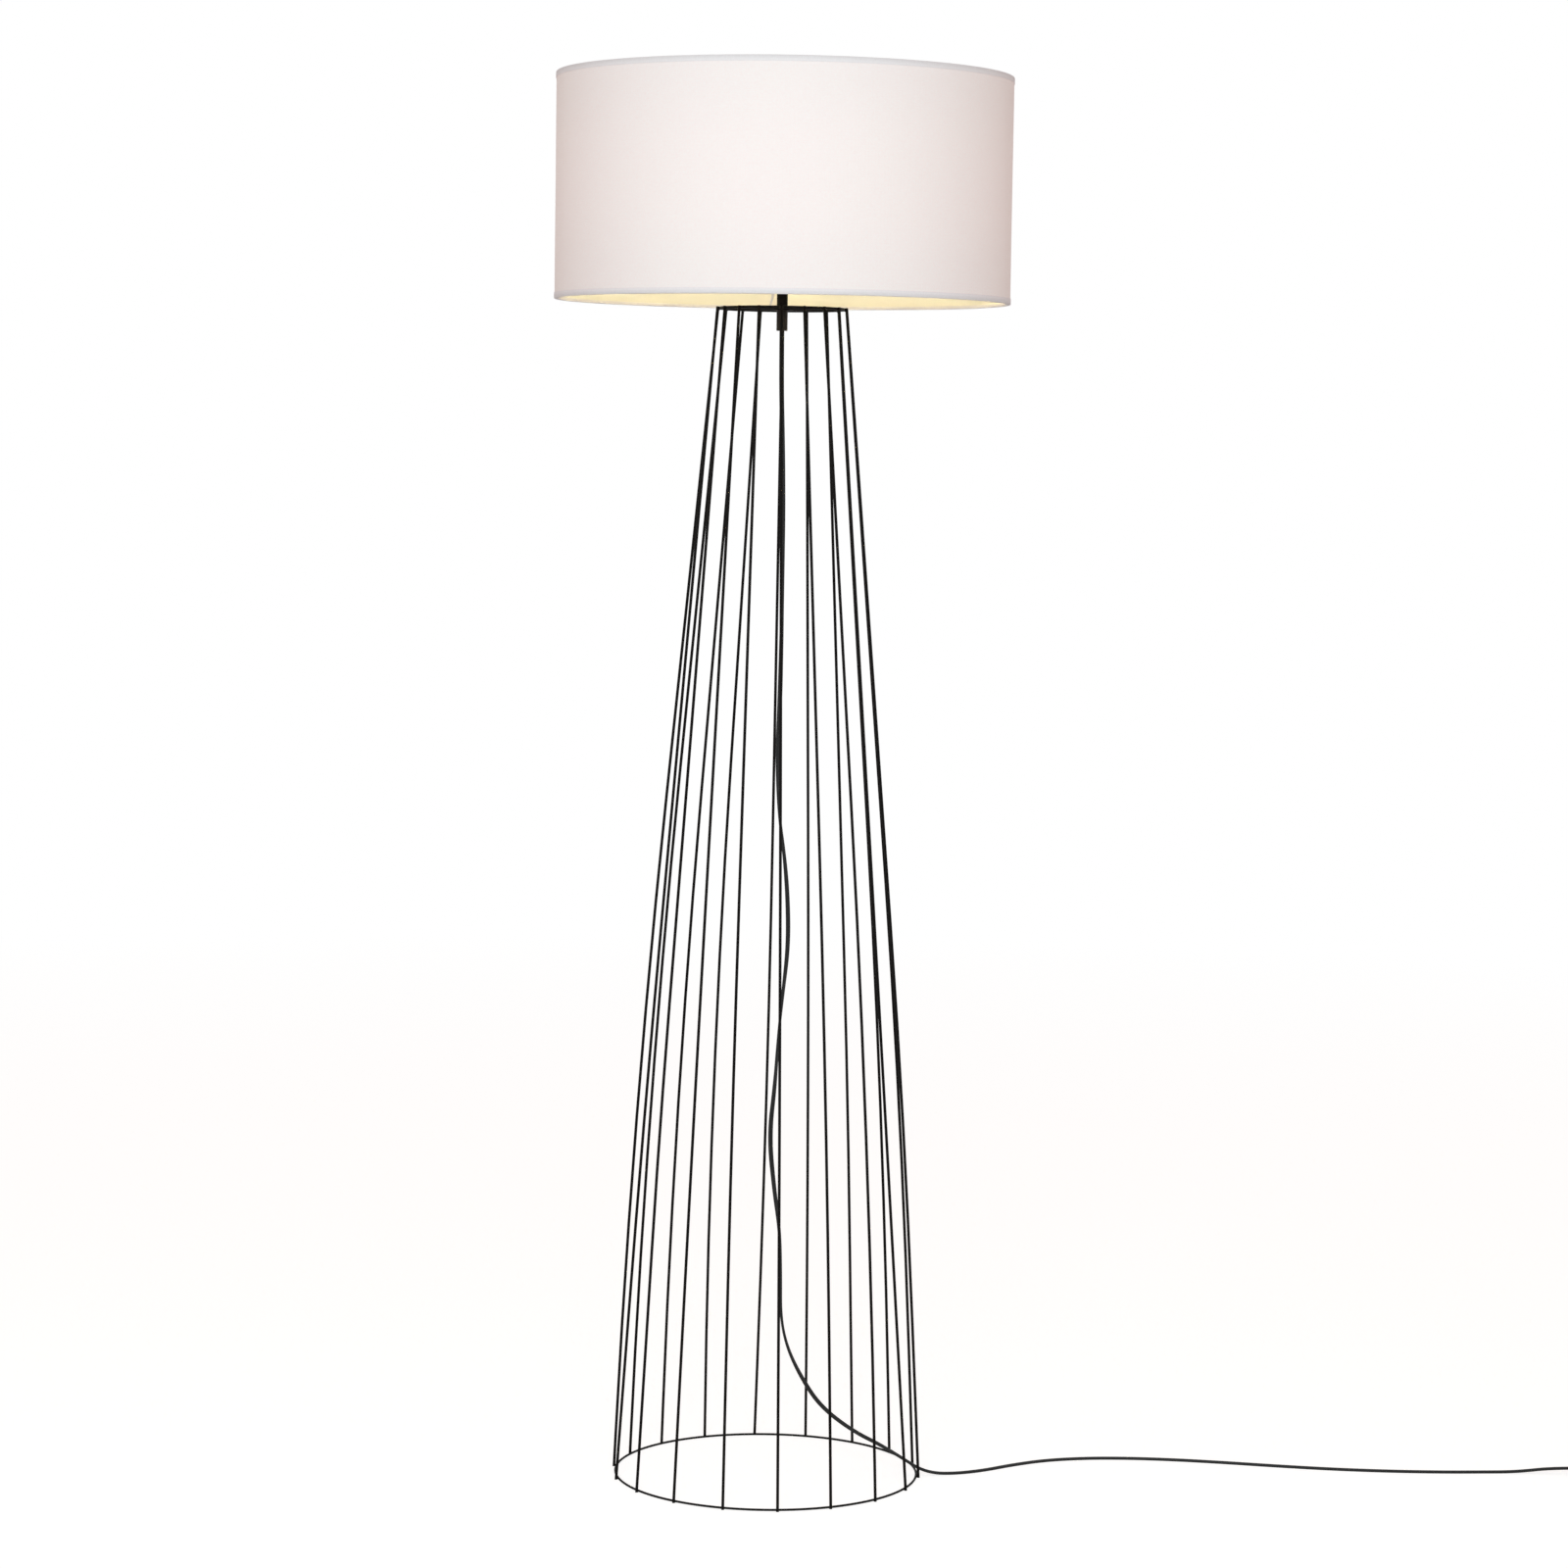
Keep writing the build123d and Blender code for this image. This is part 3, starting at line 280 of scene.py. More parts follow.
lead_points = [
    (0.0, 0.0, 1.2837), (0.0, 0.0, 1.222), (0.0024, 0.0, 1.154), (0.0044, 0.0, 1.082),
    (0.0049, 0.0, 1.008), (0.0043, 0.0, 0.936), (0.0036, 0.0, 0.866), (0.0016, 0.0, 0.800),
    (0.0042, 0.0, 0.742), (0.0114, 0.0, 0.694), (0.0156, 0.0, 0.646), (0.0168, 0.0, 0.594),
    (0.0116, 0.0, 0.542), (0.0070, 0.0, 0.492), (0.0044, 0.0, 0.440), (-0.0014, 0.0, 0.382),
    (0.0046, 0.0, 0.324), (0.0122, 0.0, 0.272), (0.0138, 0.0, 0.222), (0.0144, 0.0, 0.176),
    (0.0220, 0.0, 0.142), (0.0380, 0.0, 0.109), (0.0600, 0.0, 0.076), (0.0960, -0.001, 0.049),
    (0.1310, -0.0015, 0.0320), (0.1550, -0.0030, 0.0178), (0.1730, -0.0038, 0.0070),
    (0.1900, -0.0025, 0.0024), (0.2080, 0.0010, 0.0015), (0.2280, 0.0080, 0.0015),
    (0.2500, 0.0210, 0.0015), (0.2770, 0.0430, 0.0015), (0.3160, 0.0675, 0.0015),
    (0.3620, 0.0805, 0.0015), (0.4100, 0.0840, 0.0015), (0.4620, 0.0810, 0.0015),
    (0.5200, 0.0720, 0.0015), (0.5800, 0.0600, 0.0015), (0.6420, 0.0500, 0.0015),
    (0.7060, 0.0450, 0.0015), (0.7680, 0.0455, 0.0015), (0.8100, 0.0490, 0.0015),
    (0.8500, 0.0525, 0.0015), (0.8940, 0.0530, 0.0070), (0.9425, 0.0530, 0.0070),
]
lead_path = smooth_line("cord_lead_route", lead_points, 8)
ROLL_END = 0.26
# Roll of the hanging flex at some heights: 0 shows its edge to the front and 90 its flat side
lead_rolls = [(1.30, 80), (1.18, 80), (1.00, 20), (0.86, 75), (0.74, 10), (0.62, 60), (0.50, 5),
              (0.38, 70), (0.24, 10), (0.16, 0), (0.09, 40), (0.045, 25), (0.012, 0), (0.0, 0)]


def lead_roll(number):
    """The roll where the flex has come down to a path point."""
    height = lead_path[number].z
    if lead_path[number].x > ROLL_END:
        return 0
    for (above, one), (below, other) in zip(lead_rolls, lead_rolls[1:]):
        if below <= height <= above:
            share = (above - height) / (above - below)
            return one + (other - one) * share * share * (3 - 2 * share)
    return 0


cord_lead = flex("cord_lead_flex", lead_path, lead_roll)
dress(cord_lead, "lamp", flex_black)
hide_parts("cord_lead")

# Spare cord: it leaves the switch, spirals in on the floor in seven half turns, steps up and
# spirals out on top of them, and ends in the plug beside the coil. The turns lie flat.
COIL_X = 1.144
COIL_START_Y = 0.053
COIL_RADIUS = 0.038
COIL_PITCH = 0.0059
COIL_LOW = 0.0025
COIL_HIGH = 0.0058
POINTS_IN_HALF_TURN = 9
turn_radii = [COIL_RADIUS - k * COIL_PITCH / 2 for k in range(7)]
climb_radius = COIL_RADIUS - 7 * COIL_PITCH / 2
coil_points = [
    (1.0175, 0.053, 0.0070), (1.066, 0.053, 0.0070), (1.096, 0.053, 0.0030), (1.122, 0.053, COIL_LOW),
]
side = 1
turn_y = COIL_START_Y
for layer, radii in ((COIL_LOW, turn_radii), (None, [climb_radius]), (COIL_HIGH, turn_radii[::-1])):
    for radius in radii:
        for k in range(POINTS_IN_HALF_TURN):
            angle = math.pi * (k + 0.5) / POINTS_IN_HALF_TURN
            share = (k + 0.5) / POINTS_IN_HALF_TURN
            height = COIL_LOW + (COIL_HIGH - COIL_LOW) * share if layer is None else layer
            coil_points.append((
                COIL_X + side * radius * math.sin(angle),
                turn_y - side * radius * (1 - math.cos(angle)),
                height,
            ))
        turn_y -= side * 2 * radius
        side = -side
coil_exit_y = turn_y
PLUG_AXIS = 0.00725
coil_points += [
    (1.122, coil_exit_y, COIL_HIGH), (1.098, coil_exit_y, 0.0062),
    (1.066, coil_exit_y, PLUG_AXIS), (1.004, coil_exit_y, PLUG_AXIS),
]
coil_path = smooth_line("cord_coil_route", coil_points, 4)
cord_coil = flex("cord_coil_flex", coil_path, lambda number: 0)
dress(cord_coil, "lamp", flex_black)
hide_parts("cord_coil")


# Coil tie: a strip of black hook-and-loop tape round the bundle, with its free end lapped over.
def strap_points(low, high, bottom, top, corner):
    """A rounded ring of (x, z) round the bundle."""
    ring = []
    for middle_x, middle_z, first in (
        (high - corner, top - corner, 0), (low + corner, top - corner, 90),
        (low + corner, bottom + corner, 180), (high - corner, bottom + corner, 270),
    ):
        for k in range(5):
            turn = math.radians(first + k * 22.5)
            ring.append((middle_x + corner * math.cos(turn), middle_z + corner * math.sin(turn)))
    return ring


TIE_WIDTH = 0.009
TIE_INSET = 0.0006
TIE_BOTTOM = 0.0004
TIE_TOP = 0.0085
TIE_CORNER = 0.0016
tie_low, tie_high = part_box("coil_tie")
tie_ring = strap_points(tie_low.x + TIE_INSET, tie_high.x - TIE_INSET, TIE_BOTTOM, TIE_TOP, TIE_CORNER)
# The strap starts at a top corner, goes round, and laps over its own start
tie_path = tie_ring[5:] + tie_ring[:5] + [(tie_ring[5][0] + 0.006, tie_ring[5][1] + TIE_INSET)]
tie_side = (tie_low.y + tie_high.y) / 2 - TIE_WIDTH / 2


def first_point(name, place):
    """A piece of one vertex at a place, left in edit mode to be drawn out."""
    bpy.ops.mesh.primitive_plane_add(size=1)
    piece = bpy.context.object
    piece.name = name
    bpy.ops.object.mode_set(mode="EDIT")
    bpy.ops.mesh.select_mode(type="VERT")
    bpy.ops.mesh.select_all(action="SELECT")
    bpy.ops.mesh.merge(type="CENTER")
    bpy.ops.transform.translate(value=place)
    return piece


def draw_out(step):
    """Extrudes what is selected by a step."""
    bpy.ops.mesh.extrude_region_move(TRANSFORM_OT_translate={"value": step})


def give_wall(piece, thickness):
    """Gives an open sheet a wall that has it in its middle, and smooth shading."""
    wall = piece.modifiers.new("wall", "SOLIDIFY")
    wall.thickness = thickness
    wall.offset = 0
    bpy.ops.object.modifier_apply(modifier="wall")
    bpy.ops.object.shade_smooth_by_angle(angle=math.radians(40))
    bpy.ops.object.select_all(action="DESELECT")


def strip(name, points, across, thickness):
    """A flat strip that follows points and is as wide as the step across them."""
    piece = first_point(name, points[0])
    for point, following in zip(points, points[1:]):
        draw_out([b - a for a, b in zip(point, following)])
    bpy.ops.mesh.select_all(action="SELECT")
    draw_out(across)
    bpy.ops.mesh.select_all(action="SELECT")
    bpy.ops.mesh.normals_make_consistent(inside=False)
    bpy.ops.object.mode_set(mode="OBJECT")
    give_wall(piece, thickness)
    return piece


tie_tape = mottled("tie_tape", (0.016, 0.016, 0.016), (0.035, 0.034, 0.033), 700, 2600, 0.0003,
                   (0.8, 0.95), specular=0.2)
tie_points = [(x, tie_side, z) for x, z in tie_path]
coil_tie = strip("coil_tie_tape", tie_points, (0, TIE_WIDTH, 0), 0.0007)
dress(coil_tie, "lamp", tie_tape)
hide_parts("coil_tie")

# Plug: a black moulded body that narrows to a ribbed relief, and two round brass pins held in it
# where it was moulded round them
switch_black = mottled("switch_black", (0.014, 0.0135, 0.013), (0.022, 0.021, 0.02), 40, 1800, 0.0001,
                       (0.42, 0.56))
pin_brass = mottled("pin_brass", (0.78, 0.60, 0.28), (0.70, 0.52, 0.22), 90, 1500, 0.00003,
                    (0.22, 0.34), metallic=1.0)


def turned(name, outline, steps, closed=False, smooth=35):
    """Spins an outline of (radius, height) round the upright axis through the origin."""
    piece = first_point(name, (outline[0][0], 0, outline[0][1]))
    rest = outline[1:] + (outline[:1] if closed else [])
    for (radius, height), (next_radius, next_height) in zip(outline, rest):
        draw_out((next_radius - radius, 0, next_height - height))
    bpy.ops.mesh.select_all(action="SELECT")
    bpy.ops.mesh.spin(steps=steps, angle=2 * math.pi, center=(0, 0, 0), axis=(0, 0, 1))
    bpy.ops.mesh.select_all(action="SELECT")
    bpy.ops.mesh.remove_doubles(threshold=0.000004)
    bpy.ops.mesh.normals_make_consistent(inside=False)
    bpy.ops.object.mode_set(mode="OBJECT")
    bpy.ops.object.shade_smooth_by_angle(angle=math.radians(smooth))
    bpy.ops.object.select_all(action="DESELECT")
    return piece


def place_turned(piece, turn, place):
    """Turns and moves a finished shape within its own mesh, and leaves its object at the origin."""
    piece.data.transform(Matrix.Translation(place) @ turn.to_4x4())
    return piece


def relief_outline(length, wide, narrow, bore, ribs):
    """A tapered relief's outline: ribs and grooves outside, then back along the bore."""
    outline = [(bore, 0.0), (wide, 0.0)]
    pitch = length / ribs
    for k in range(ribs):
        start = k * pitch
        here = wide + (narrow - wide) * (start + pitch * 0.6) / length
        groove = here - 0.0007
        outline += [(here, start + pitch * 0.1), (here, start + pitch * 0.62)]
        outline += [(groove, start + pitch * 0.7), (groove, start + pitch * 0.95)]
    return outline + [(narrow - 0.0004, length), (bore, length)]


ALONG_X = Matrix.Rotation(math.radians(90), 3, "Y")
AGAINST_X = Matrix.Rotation(math.radians(-90), 3, "Y")
RELIEF_BORE = 0.00276
PLUG_LENGTH = 0.036
PLUG_WIDTH = 0.027
PLUG_HEIGHT = 0.0145
plug_low, plug_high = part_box("plug_body")
plug_y = (plug_low.y + plug_high.y) / 2
plug_z = (plug_low.z + plug_high.z) / 2
plug_back = plug_low.x + PLUG_LENGTH
plug_ribs = relief_outline(0.030, 0.0050, 0.0035, RELIEF_BORE, 7)
plug_relief = turned("plug_relief", plug_ribs, 40, closed=True)
place_turned(plug_relief, ALONG_X, (plug_back, plug_y, plug_z))
dress(plug_relief, "lamp", switch_black)

plug_middle = (plug_low.x + PLUG_LENGTH / 2, plug_y, plug_z)
plug_size = (PLUG_LENGTH, PLUG_WIDTH, PLUG_HEIGHT)
bpy.ops.mesh.primitive_cube_add(size=1, location=plug_middle, scale=plug_size)
plug_shell = bpy.context.object
plug_shell.name = "plug_shell"
bpy.ops.object.transform_apply(location=True, rotation=True, scale=True)


def select_faces(piece, test):
    """In edit mode, selects just the faces whose middle and normal pass a test."""
    bpy.ops.object.mode_set(mode="OBJECT")
    for face in piece.data.polygons:
        face.select = test(face.center, face.normal)
    for edge in piece.data.edges:
        edge.select = False
    for vertex in piece.data.vertices:
        vertex.select = False
    bpy.ops.object.mode_set(mode="EDIT")
    bpy.ops.mesh.select_mode(type="FACE")


# Face mode comes first, because edit mode drops a face's selection in any other mode. The back
# narrows in two steps, and the front gets a low raised field round the pins.
bpy.ops.object.mode_set(mode="EDIT")
bpy.ops.mesh.select_mode(type="FACE")
select_faces(plug_shell, lambda middle, normal: normal.x > 0.9)
bpy.ops.transform.translate(value=(-0.016, 0, 0))
draw_out((0.010, 0, 0))
bpy.ops.transform.resize(value=(1, 0.72, 0.96))
draw_out((0.006, 0, 0))
bpy.ops.transform.resize(value=(1, 0.66, 0.86))
select_faces(plug_shell, lambda middle, normal: normal.x < -0.9)
bpy.ops.mesh.inset(thickness=0.0026)
draw_out((-0.0001, 0, 0))
bpy.ops.object.mode_set(mode="OBJECT")
rounding = plug_shell.modifiers.new("rounding", "BEVEL")
rounding.width = 0.0035
rounding.segments = 4
rounding.angle_limit = math.radians(30)
bpy.ops.object.modifier_apply(modifier="rounding")
bpy.ops.object.shade_smooth_by_angle(angle=math.radians(40))
bpy.ops.object.select_all(action="DESELECT")
dress(plug_shell, "lamp", switch_black)
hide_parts("plug_body")
dress_nodes(pin_brass, "brass", "plug_pins")

# Foot switch: two black moulded shells screwed together from below, a round push button with a
# brass bridge under it on a steel spring, and a ribbed grommet where the cord passes each end.
button_black = mottled("button_black", (0.016, 0.016, 0.016), (0.024, 0.024, 0.023), 60, 1200, 0.00005,
                       (0.26, 0.36))
spring_steel = mottled("spring_steel", (0.60, 0.60, 0.60), (0.50, 0.50, 0.51), 200, 1500, 0.00002,
                       (0.24, 0.36), metallic=1.0)
grommet_rubber = mottled("grommet_rubber", (0.012, 0.012, 0.012), (0.020, 0.020, 0.019), 80, 1500, 0.0001,
                         (0.6, 0.75), specular=0.3)
core_grey = mottled("core_grey", (0.10, 0.10, 0.11), (0.13, 0.12, 0.12), 90, 1200, 0.00004,
                    (0.45, 0.6))
dress_nodes(switch_black, "switch_black", "switch_base", "switch_cover")
dress_nodes(button_black, "button_black", "switch_button")
dress_nodes(spring_steel, "spring_steel", "button_spring", "switch_screws")
dress_nodes(pin_brass, "brass", "contact_bridge", "fixed_contacts")
dress_nodes(core_grey, "cord_black", "switch_cores")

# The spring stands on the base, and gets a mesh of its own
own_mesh(nodes["button_spring"])
switch_low, switch_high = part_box("switch_base")
switch_y = (switch_low.y + switch_high.y) / 2
GROMMET_AXIS = 0.0070
grommet_ribs = relief_outline(0.024, 0.0048, 0.0035, RELIEF_BORE, 6)
for name, turn, x in (("grommet_in", AGAINST_X, switch_low.x), ("grommet_out", ALONG_X, switch_high.x)):
    grommet = turned(name, grommet_ribs, 40, closed=True)
    place_turned(grommet, turn, (x, switch_y, GROMMET_AXIS))
    dress(grommet, "lamp", grommet_rubber)
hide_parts("cord_grommets")

# Cage: rods and rings of steel wire under a satin dark powder coat. The rods keep their imported
# shape, each bent in one plane from a wide foot to the straight upper part.
cage_paint = mottled("cage_paint", (0.0034, 0.0026, 0.0022), (0.0056, 0.0044, 0.0038), 14, 1500, 0.00012,
                     (0.5, 0.65), specular=0.07)
rod_names = [f"rod_{number:02d}" for number in range(1, 19)]
dress_nodes(cage_paint, "cage_paint", *rod_names, "base_ring", "top_ring")
dress_nodes(cage_paint, "cage_paint", "hub_washer", "hub_spokes", "spacer_sleeve")


# Weld beads: a small uneven blob of metal at each crossing of a rod and a ring, under the paint
def bead(name, size, seed):
    """One bead at the origin: a ball drawn out sideways and made uneven."""
    bpy.ops.mesh.primitive_ico_sphere_add(subdivisions=3, radius=1)
    piece = bpy.context.object
    piece.name = name
    for vertex in piece.data.vertices:
        swell = 1 + 0.16 * noise.noise(vertex.co * 1.7 + Vector((seed, 0, 0)))
        vertex.co = Vector(a * b * swell for a, b in zip(vertex.co, size))
    bpy.ops.object.shade_smooth()
    bpy.ops.object.select_all(action="DESELECT")
    return piece


def beads(name, size, places):
    """Beads of one size at (radius, degrees from the front, height), joined as one piece."""
    made = []
    for number, (radius, degrees, height) in enumerate(places):
        one = bead(name, size, number * 2.3)
        turn = math.radians(degrees)
        spot = (radius * math.sin(turn), -radius * math.cos(turn), height)
        one.data.transform(Matrix.Translation(spot) @ Matrix.Rotation(turn, 4, "Z"))
        made.append(one)
    for one in made:
        one.select_set(True)
    bpy.context.view_layer.objects.active = made[0]
    bpy.ops.object.join()
    made[0].name = name
    bpy.ops.object.select_all(action="DESELECT")
    return made[0]


def rod_end(name, top):
    """Middle of a rod's end face, as (radius, degrees from the front, height)."""
    corners = [nodes[name].matrix_world @ vertex.co for vertex in nodes[name].data.vertices]
    level = max(c.z for c in corners) if top else min(c.z for c in corners)
    face = [c for c in corners if abs(c.z - level) < 0.0008]
    middle = sum(face, Vector()) / len(face)
    return math.hypot(middle.x, middle.y), math.degrees(math.atan2(middle.x, -middle.y)), level


ring_low, ring_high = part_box("base_ring")
neck_low, neck_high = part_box("top_ring")
base_wire = (ring_high.z - ring_low.z) / 2
base_ring_level = (ring_high.z + ring_low.z) / 2
neck_level = (neck_high.z + neck_low.z) / 2
top_ring_radius = neck_high.x - (neck_high.z - neck_low.z) / 2
base_crossings = [(ring_high.x, rod_end(name, False)[1], base_ring_level) for name in rod_names]
top_crossings = [(neck_high.x, rod_end(name, True)[1], neck_level - 0.0003) for name in rod_names]
WASHER_RADIUS = 0.0122
spoke_turns = [45 + 90 * k for k in range(4)]
spoke_crossings = [(top_ring_radius - 0.0016, turn, neck_level) for turn in spoke_turns]
spoke_crossings += [(WASHER_RADIUS, turn, neck_level) for turn in spoke_turns]
for name, size, crossings in (
    ("base_welds", (0.0021, 0.0011, base_wire * 0.94), base_crossings),
    ("top_welds", (0.0022, 0.0012, 0.0016), top_crossings),
    ("spoke_welds", (0.0020, 0.0012, 0.0016), spoke_crossings),
):
    dress(beads(name, size, crossings), "lamp", cage_paint)

# Threaded tube, cord grip and lampholder: zinc-plated tube, black moulded grip, cap and shell, a
# porcelain insert, and a brass screw shell, contact and terminal screws
zinc = mottled("zinc", (0.62, 0.62, 0.60), (0.52, 0.53, 0.52), 120, 1200, 0.00003,
               (0.3, 0.42), metallic=1.0)
phenolic = mottled("phenolic", (0.0105, 0.0072, 0.0060), (0.0150, 0.0108, 0.0090), 30, 900, 0.00006,
                   (0.45, 0.6), specular=0.2)
porcelain = mottled("porcelain", (0.90, 0.89, 0.86), (0.86, 0.85, 0.81), 50, 400, 0.0001,
                    (0.12, 0.2))
dress_nodes(zinc, "zinc_steel", "threaded_tube")
dress_nodes(phenolic, "holder_black", "cord_grip", "grip_screw", "holder_cap")
dress_nodes(porcelain, "porcelain", "holder_insert")
dress_nodes(pin_brass, "brass", "screw_shell", "centre_contact", "terminal_screws")
dress_nodes(core_grey, "cord_black", "cord_cores")

# Lampholder shell and clamp ring: black phenolic, with moulded grip ribs below the flange, a
# rounded thread above it, and a ribbed ring that screws down on the shade's fitter
SHELL_RADIUS = 0.0195
SHELL_INSIDE = 0.0153
SPIGOT_RADIUS = 0.0174
SHELL_THREAD = 0.0025
OUTSIDE_ONLY = 0.0188
shell_low, shell_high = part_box("holder_shell")
flange_low = shell_high.z - 0.018
flange_high = flange_low + 0.0025
spigot_top = flange_low - 0.012


def even_rows(radius, low, high, step):
    """Outline points straight up a wall, about a step apart."""
    count = round((high - low) / step)
    return [(radius, low + (high - low) * k / count) for k in range(count + 1)]


def cut_thread(piece, low, high, pitch, depth, root):
    """Presses a rounded right-hand thread into the wall that lies outside a root radius."""
    for vertex in piece.data.vertices:
        x, y, z = vertex.co
        radius = math.hypot(x, y)
        if radius < root or not low < z < high:
            continue
        phase = z / pitch - math.atan2(y, x) / (2 * math.pi)
        ease = min(1, (z - low) / pitch, (high - z) / pitch)
        cut = depth * ease * (0.5 - 0.5 * math.cos(2 * math.pi * phase))
        vertex.co.x = x * (radius - cut) / radius
        vertex.co.y = y * (radius - cut) / radius


def cut_ribs(piece, low, high, count, depth, root):
    """Presses upright grooves into the wall that lies outside a root radius."""
    for vertex in piece.data.vertices:
        x, y, z = vertex.co
        radius = math.hypot(x, y)
        if radius > root and low < z < high:
            wave = max(0, math.cos(count * math.atan2(y, x)))
            vertex.co.x = x * (radius - depth * wave) / radius
            vertex.co.y = y * (radius - depth * wave) / radius


shell_foot = shell_low.z + 0.0001
shell_outline = [
    (SHELL_INSIDE, shell_foot),
    (SPIGOT_RADIUS, shell_foot),
    (SPIGOT_RADIUS, spigot_top),
    *even_rows(SHELL_RADIUS, spigot_top + 0.00005, flange_low, 0.001),
    (shell_high.x - 0.0004, flange_low),
    (shell_high.x, flange_low + 0.0005),
    (shell_high.x, flange_high - 0.0004),
    (shell_high.x - 0.0003, flange_high),
    *even_rows(SHELL_RADIUS, flange_high, shell_high.z - 0.0006, 0.0003),
    (SHELL_RADIUS - 0.0006, shell_high.z),
    (SHELL_INSIDE + 0.0005, shell_high.z),
    (SHELL_INSIDE, shell_high.z - 0.0005),
]
holder_shell = turned("holder_shell_ribbed", shell_outline, 144, closed=True, smooth=40)
cut_thread(holder_shell, flange_high + 0.0012, shell_high.z - 0.0004, SHELL_THREAD, 0.0008, OUTSIDE_ONLY)
cut_ribs(holder_shell, spigot_top + 0.0015, flange_low - 0.0012, 36, 0.0005, OUTSIDE_ONLY)
dress(holder_shell, "lamp", phenolic)
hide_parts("holder_shell")

clamp_low, clamp_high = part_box("clamp_ring")
clamp_inside = SHELL_RADIUS + 0.0001
clamp_outline = [
    (clamp_inside, clamp_low.z),
    (clamp_high.x - 0.0004, clamp_low.z),
    (clamp_high.x, clamp_low.z + 0.0004),
    *even_rows(clamp_high.x, clamp_low.z + 0.0012, clamp_high.z - 0.0018, 0.0012),
    (clamp_high.x - 0.0002, clamp_high.z - 0.0005),
    (clamp_high.x - 0.0009, clamp_high.z),
    (clamp_inside + 0.0006, clamp_high.z),
    (clamp_inside, clamp_high.z - 0.0006),
]
clamp_ring = turned("clamp_ring_ribbed", clamp_outline, 240, closed=True, smooth=40)
cut_ribs(clamp_ring, clamp_low.z + 0.0008, clamp_high.z - 0.0012, 40, 0.0007, clamp_high.x - 0.0003)
dress(clamp_ring, "lamp", phenolic)
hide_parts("clamp_ring")

# Bulb: plated cap with a rolled thread over a black glass insulator, and a white housing with an
# opal dome that glows
CAP_PITCH = 0.003629
cap_low, cap_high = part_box("bulb_cap")
cap_radius = cap_high.x
CAP_BORE = 0.0045
cap_outline = [
    (CAP_BORE, cap_low.z + 0.0021),
    (0.0100, cap_low.z + 0.0024),
    (0.0112, cap_low.z + 0.0031),
    *even_rows(cap_radius, cap_low.z + 0.0040, cap_high.z, 0.0003),
    (cap_radius - 0.0005, cap_high.z),
    (cap_radius - 0.0005, cap_high.z - 0.0005),
    (CAP_BORE, cap_high.z - 0.0005),
]
bulb_cap = turned("bulb_cap_thread", cap_outline, 96, closed=True, smooth=50)
cut_thread(bulb_cap, cap_low.z + 0.0032, cap_high.z - 0.0030, CAP_PITCH, 0.0011, 0.0125)
insulator_outline = [
    (0.0030, cap_low.z),
    (0.0062, cap_low.z),
    (0.0080, cap_low.z + 0.0004),
    (0.0101, cap_low.z + 0.0018),
    (0.0104, cap_low.z + 0.0023),
    (0.0030, cap_low.z + 0.0023),
]
insulator = turned("bulb_insulator", insulator_outline, 64, closed=True, smooth=30)
insulator_glass = mottled("insulator_glass", (0.010, 0.009, 0.012), (0.016, 0.014, 0.018), 90, 900, 0.00003,
                          (0.08, 0.16))
cap_nickel = mottled("cap_nickel", (0.75, 0.74, 0.72), (0.66, 0.65, 0.63), 150, 1200, 0.00003,
                     (0.25, 0.36), metallic=1.0)
dress(bulb_cap, "bulb", cap_nickel)
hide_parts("bulb_cap")
dress(insulator, "bulb", insulator_glass)
dress_nodes(cap_nickel, "cap_nickel", "bulb_tip")
bulb_white = mottled("bulb_white", (0.93, 0.93, 0.91), (0.90, 0.90, 0.88), 30, 500, 0.00003,
                     (0.2, 0.3))
bulb_opal, tree, shader, place = principled("bulb_opal", 0.35)
opal_tone = mottle(tree, place, 60, (1.0, 0.96, 0.88), (0.98, 0.93, 0.84))
tree.links.new(opal_tone, shader.inputs["Base Color"])
grain(tree, shader, place, 900, 0.00002)
shader.inputs["Emission Color"].default_value = (1.0, 0.91, 0.53, 1)
shader.inputs["Emission Strength"].default_value = 65
dress_nodes(bulb_white, "bulb_white", "bulb_housing")
dress_nodes(bulb_opal, "bulb_opal", "bulb_dome")

# Shade frame: wire rings, three fitter arms and the fitter ring, coated white, welded together
wire_white = mottled("wire_white", (0.90, 0.88, 0.84), (0.84, 0.82, 0.77), 40, 900, 0.00005,
                     (0.3, 0.42))
dress_nodes(wire_white, "white_wire", "fitter_ring", "fitter_arms", "shade_bottom_wire", "shade_top_wire")
ARM_DEGREES = (-176.1, -56.1, 63.9)
ARM_HEAD_RADIUS = 0.0284
HALF_WIRE = 0.0015
wire_low, wire_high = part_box("shade_bottom_wire")
arms_low, arms_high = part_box("fitter_arms")
wire_middle = wire_high.x - HALF_WIRE
arm_feet = [(wire_middle, degrees, wire_high.z - 0.0001) for degrees in ARM_DEGREES]
arm_heads = [(ARM_HEAD_RADIUS, degrees, arms_high.z - 0.0016) for degrees in ARM_DEGREES]
arm_welds = beads("arm_welds", (0.0024, 0.0016, 0.0014), arm_feet + arm_heads)
dress(arm_welds, "lamp", wire_white)

# Shade cover: one strip of fine plain-weave cloth, laminated and rolled to a drum, with its
# glued seam at the back
SHADE_LOW = 1.30545
SHADE_HIGH = 1.54955
COVER_RADIUS = 0.24955
SEAM_DEGREES = 183.3


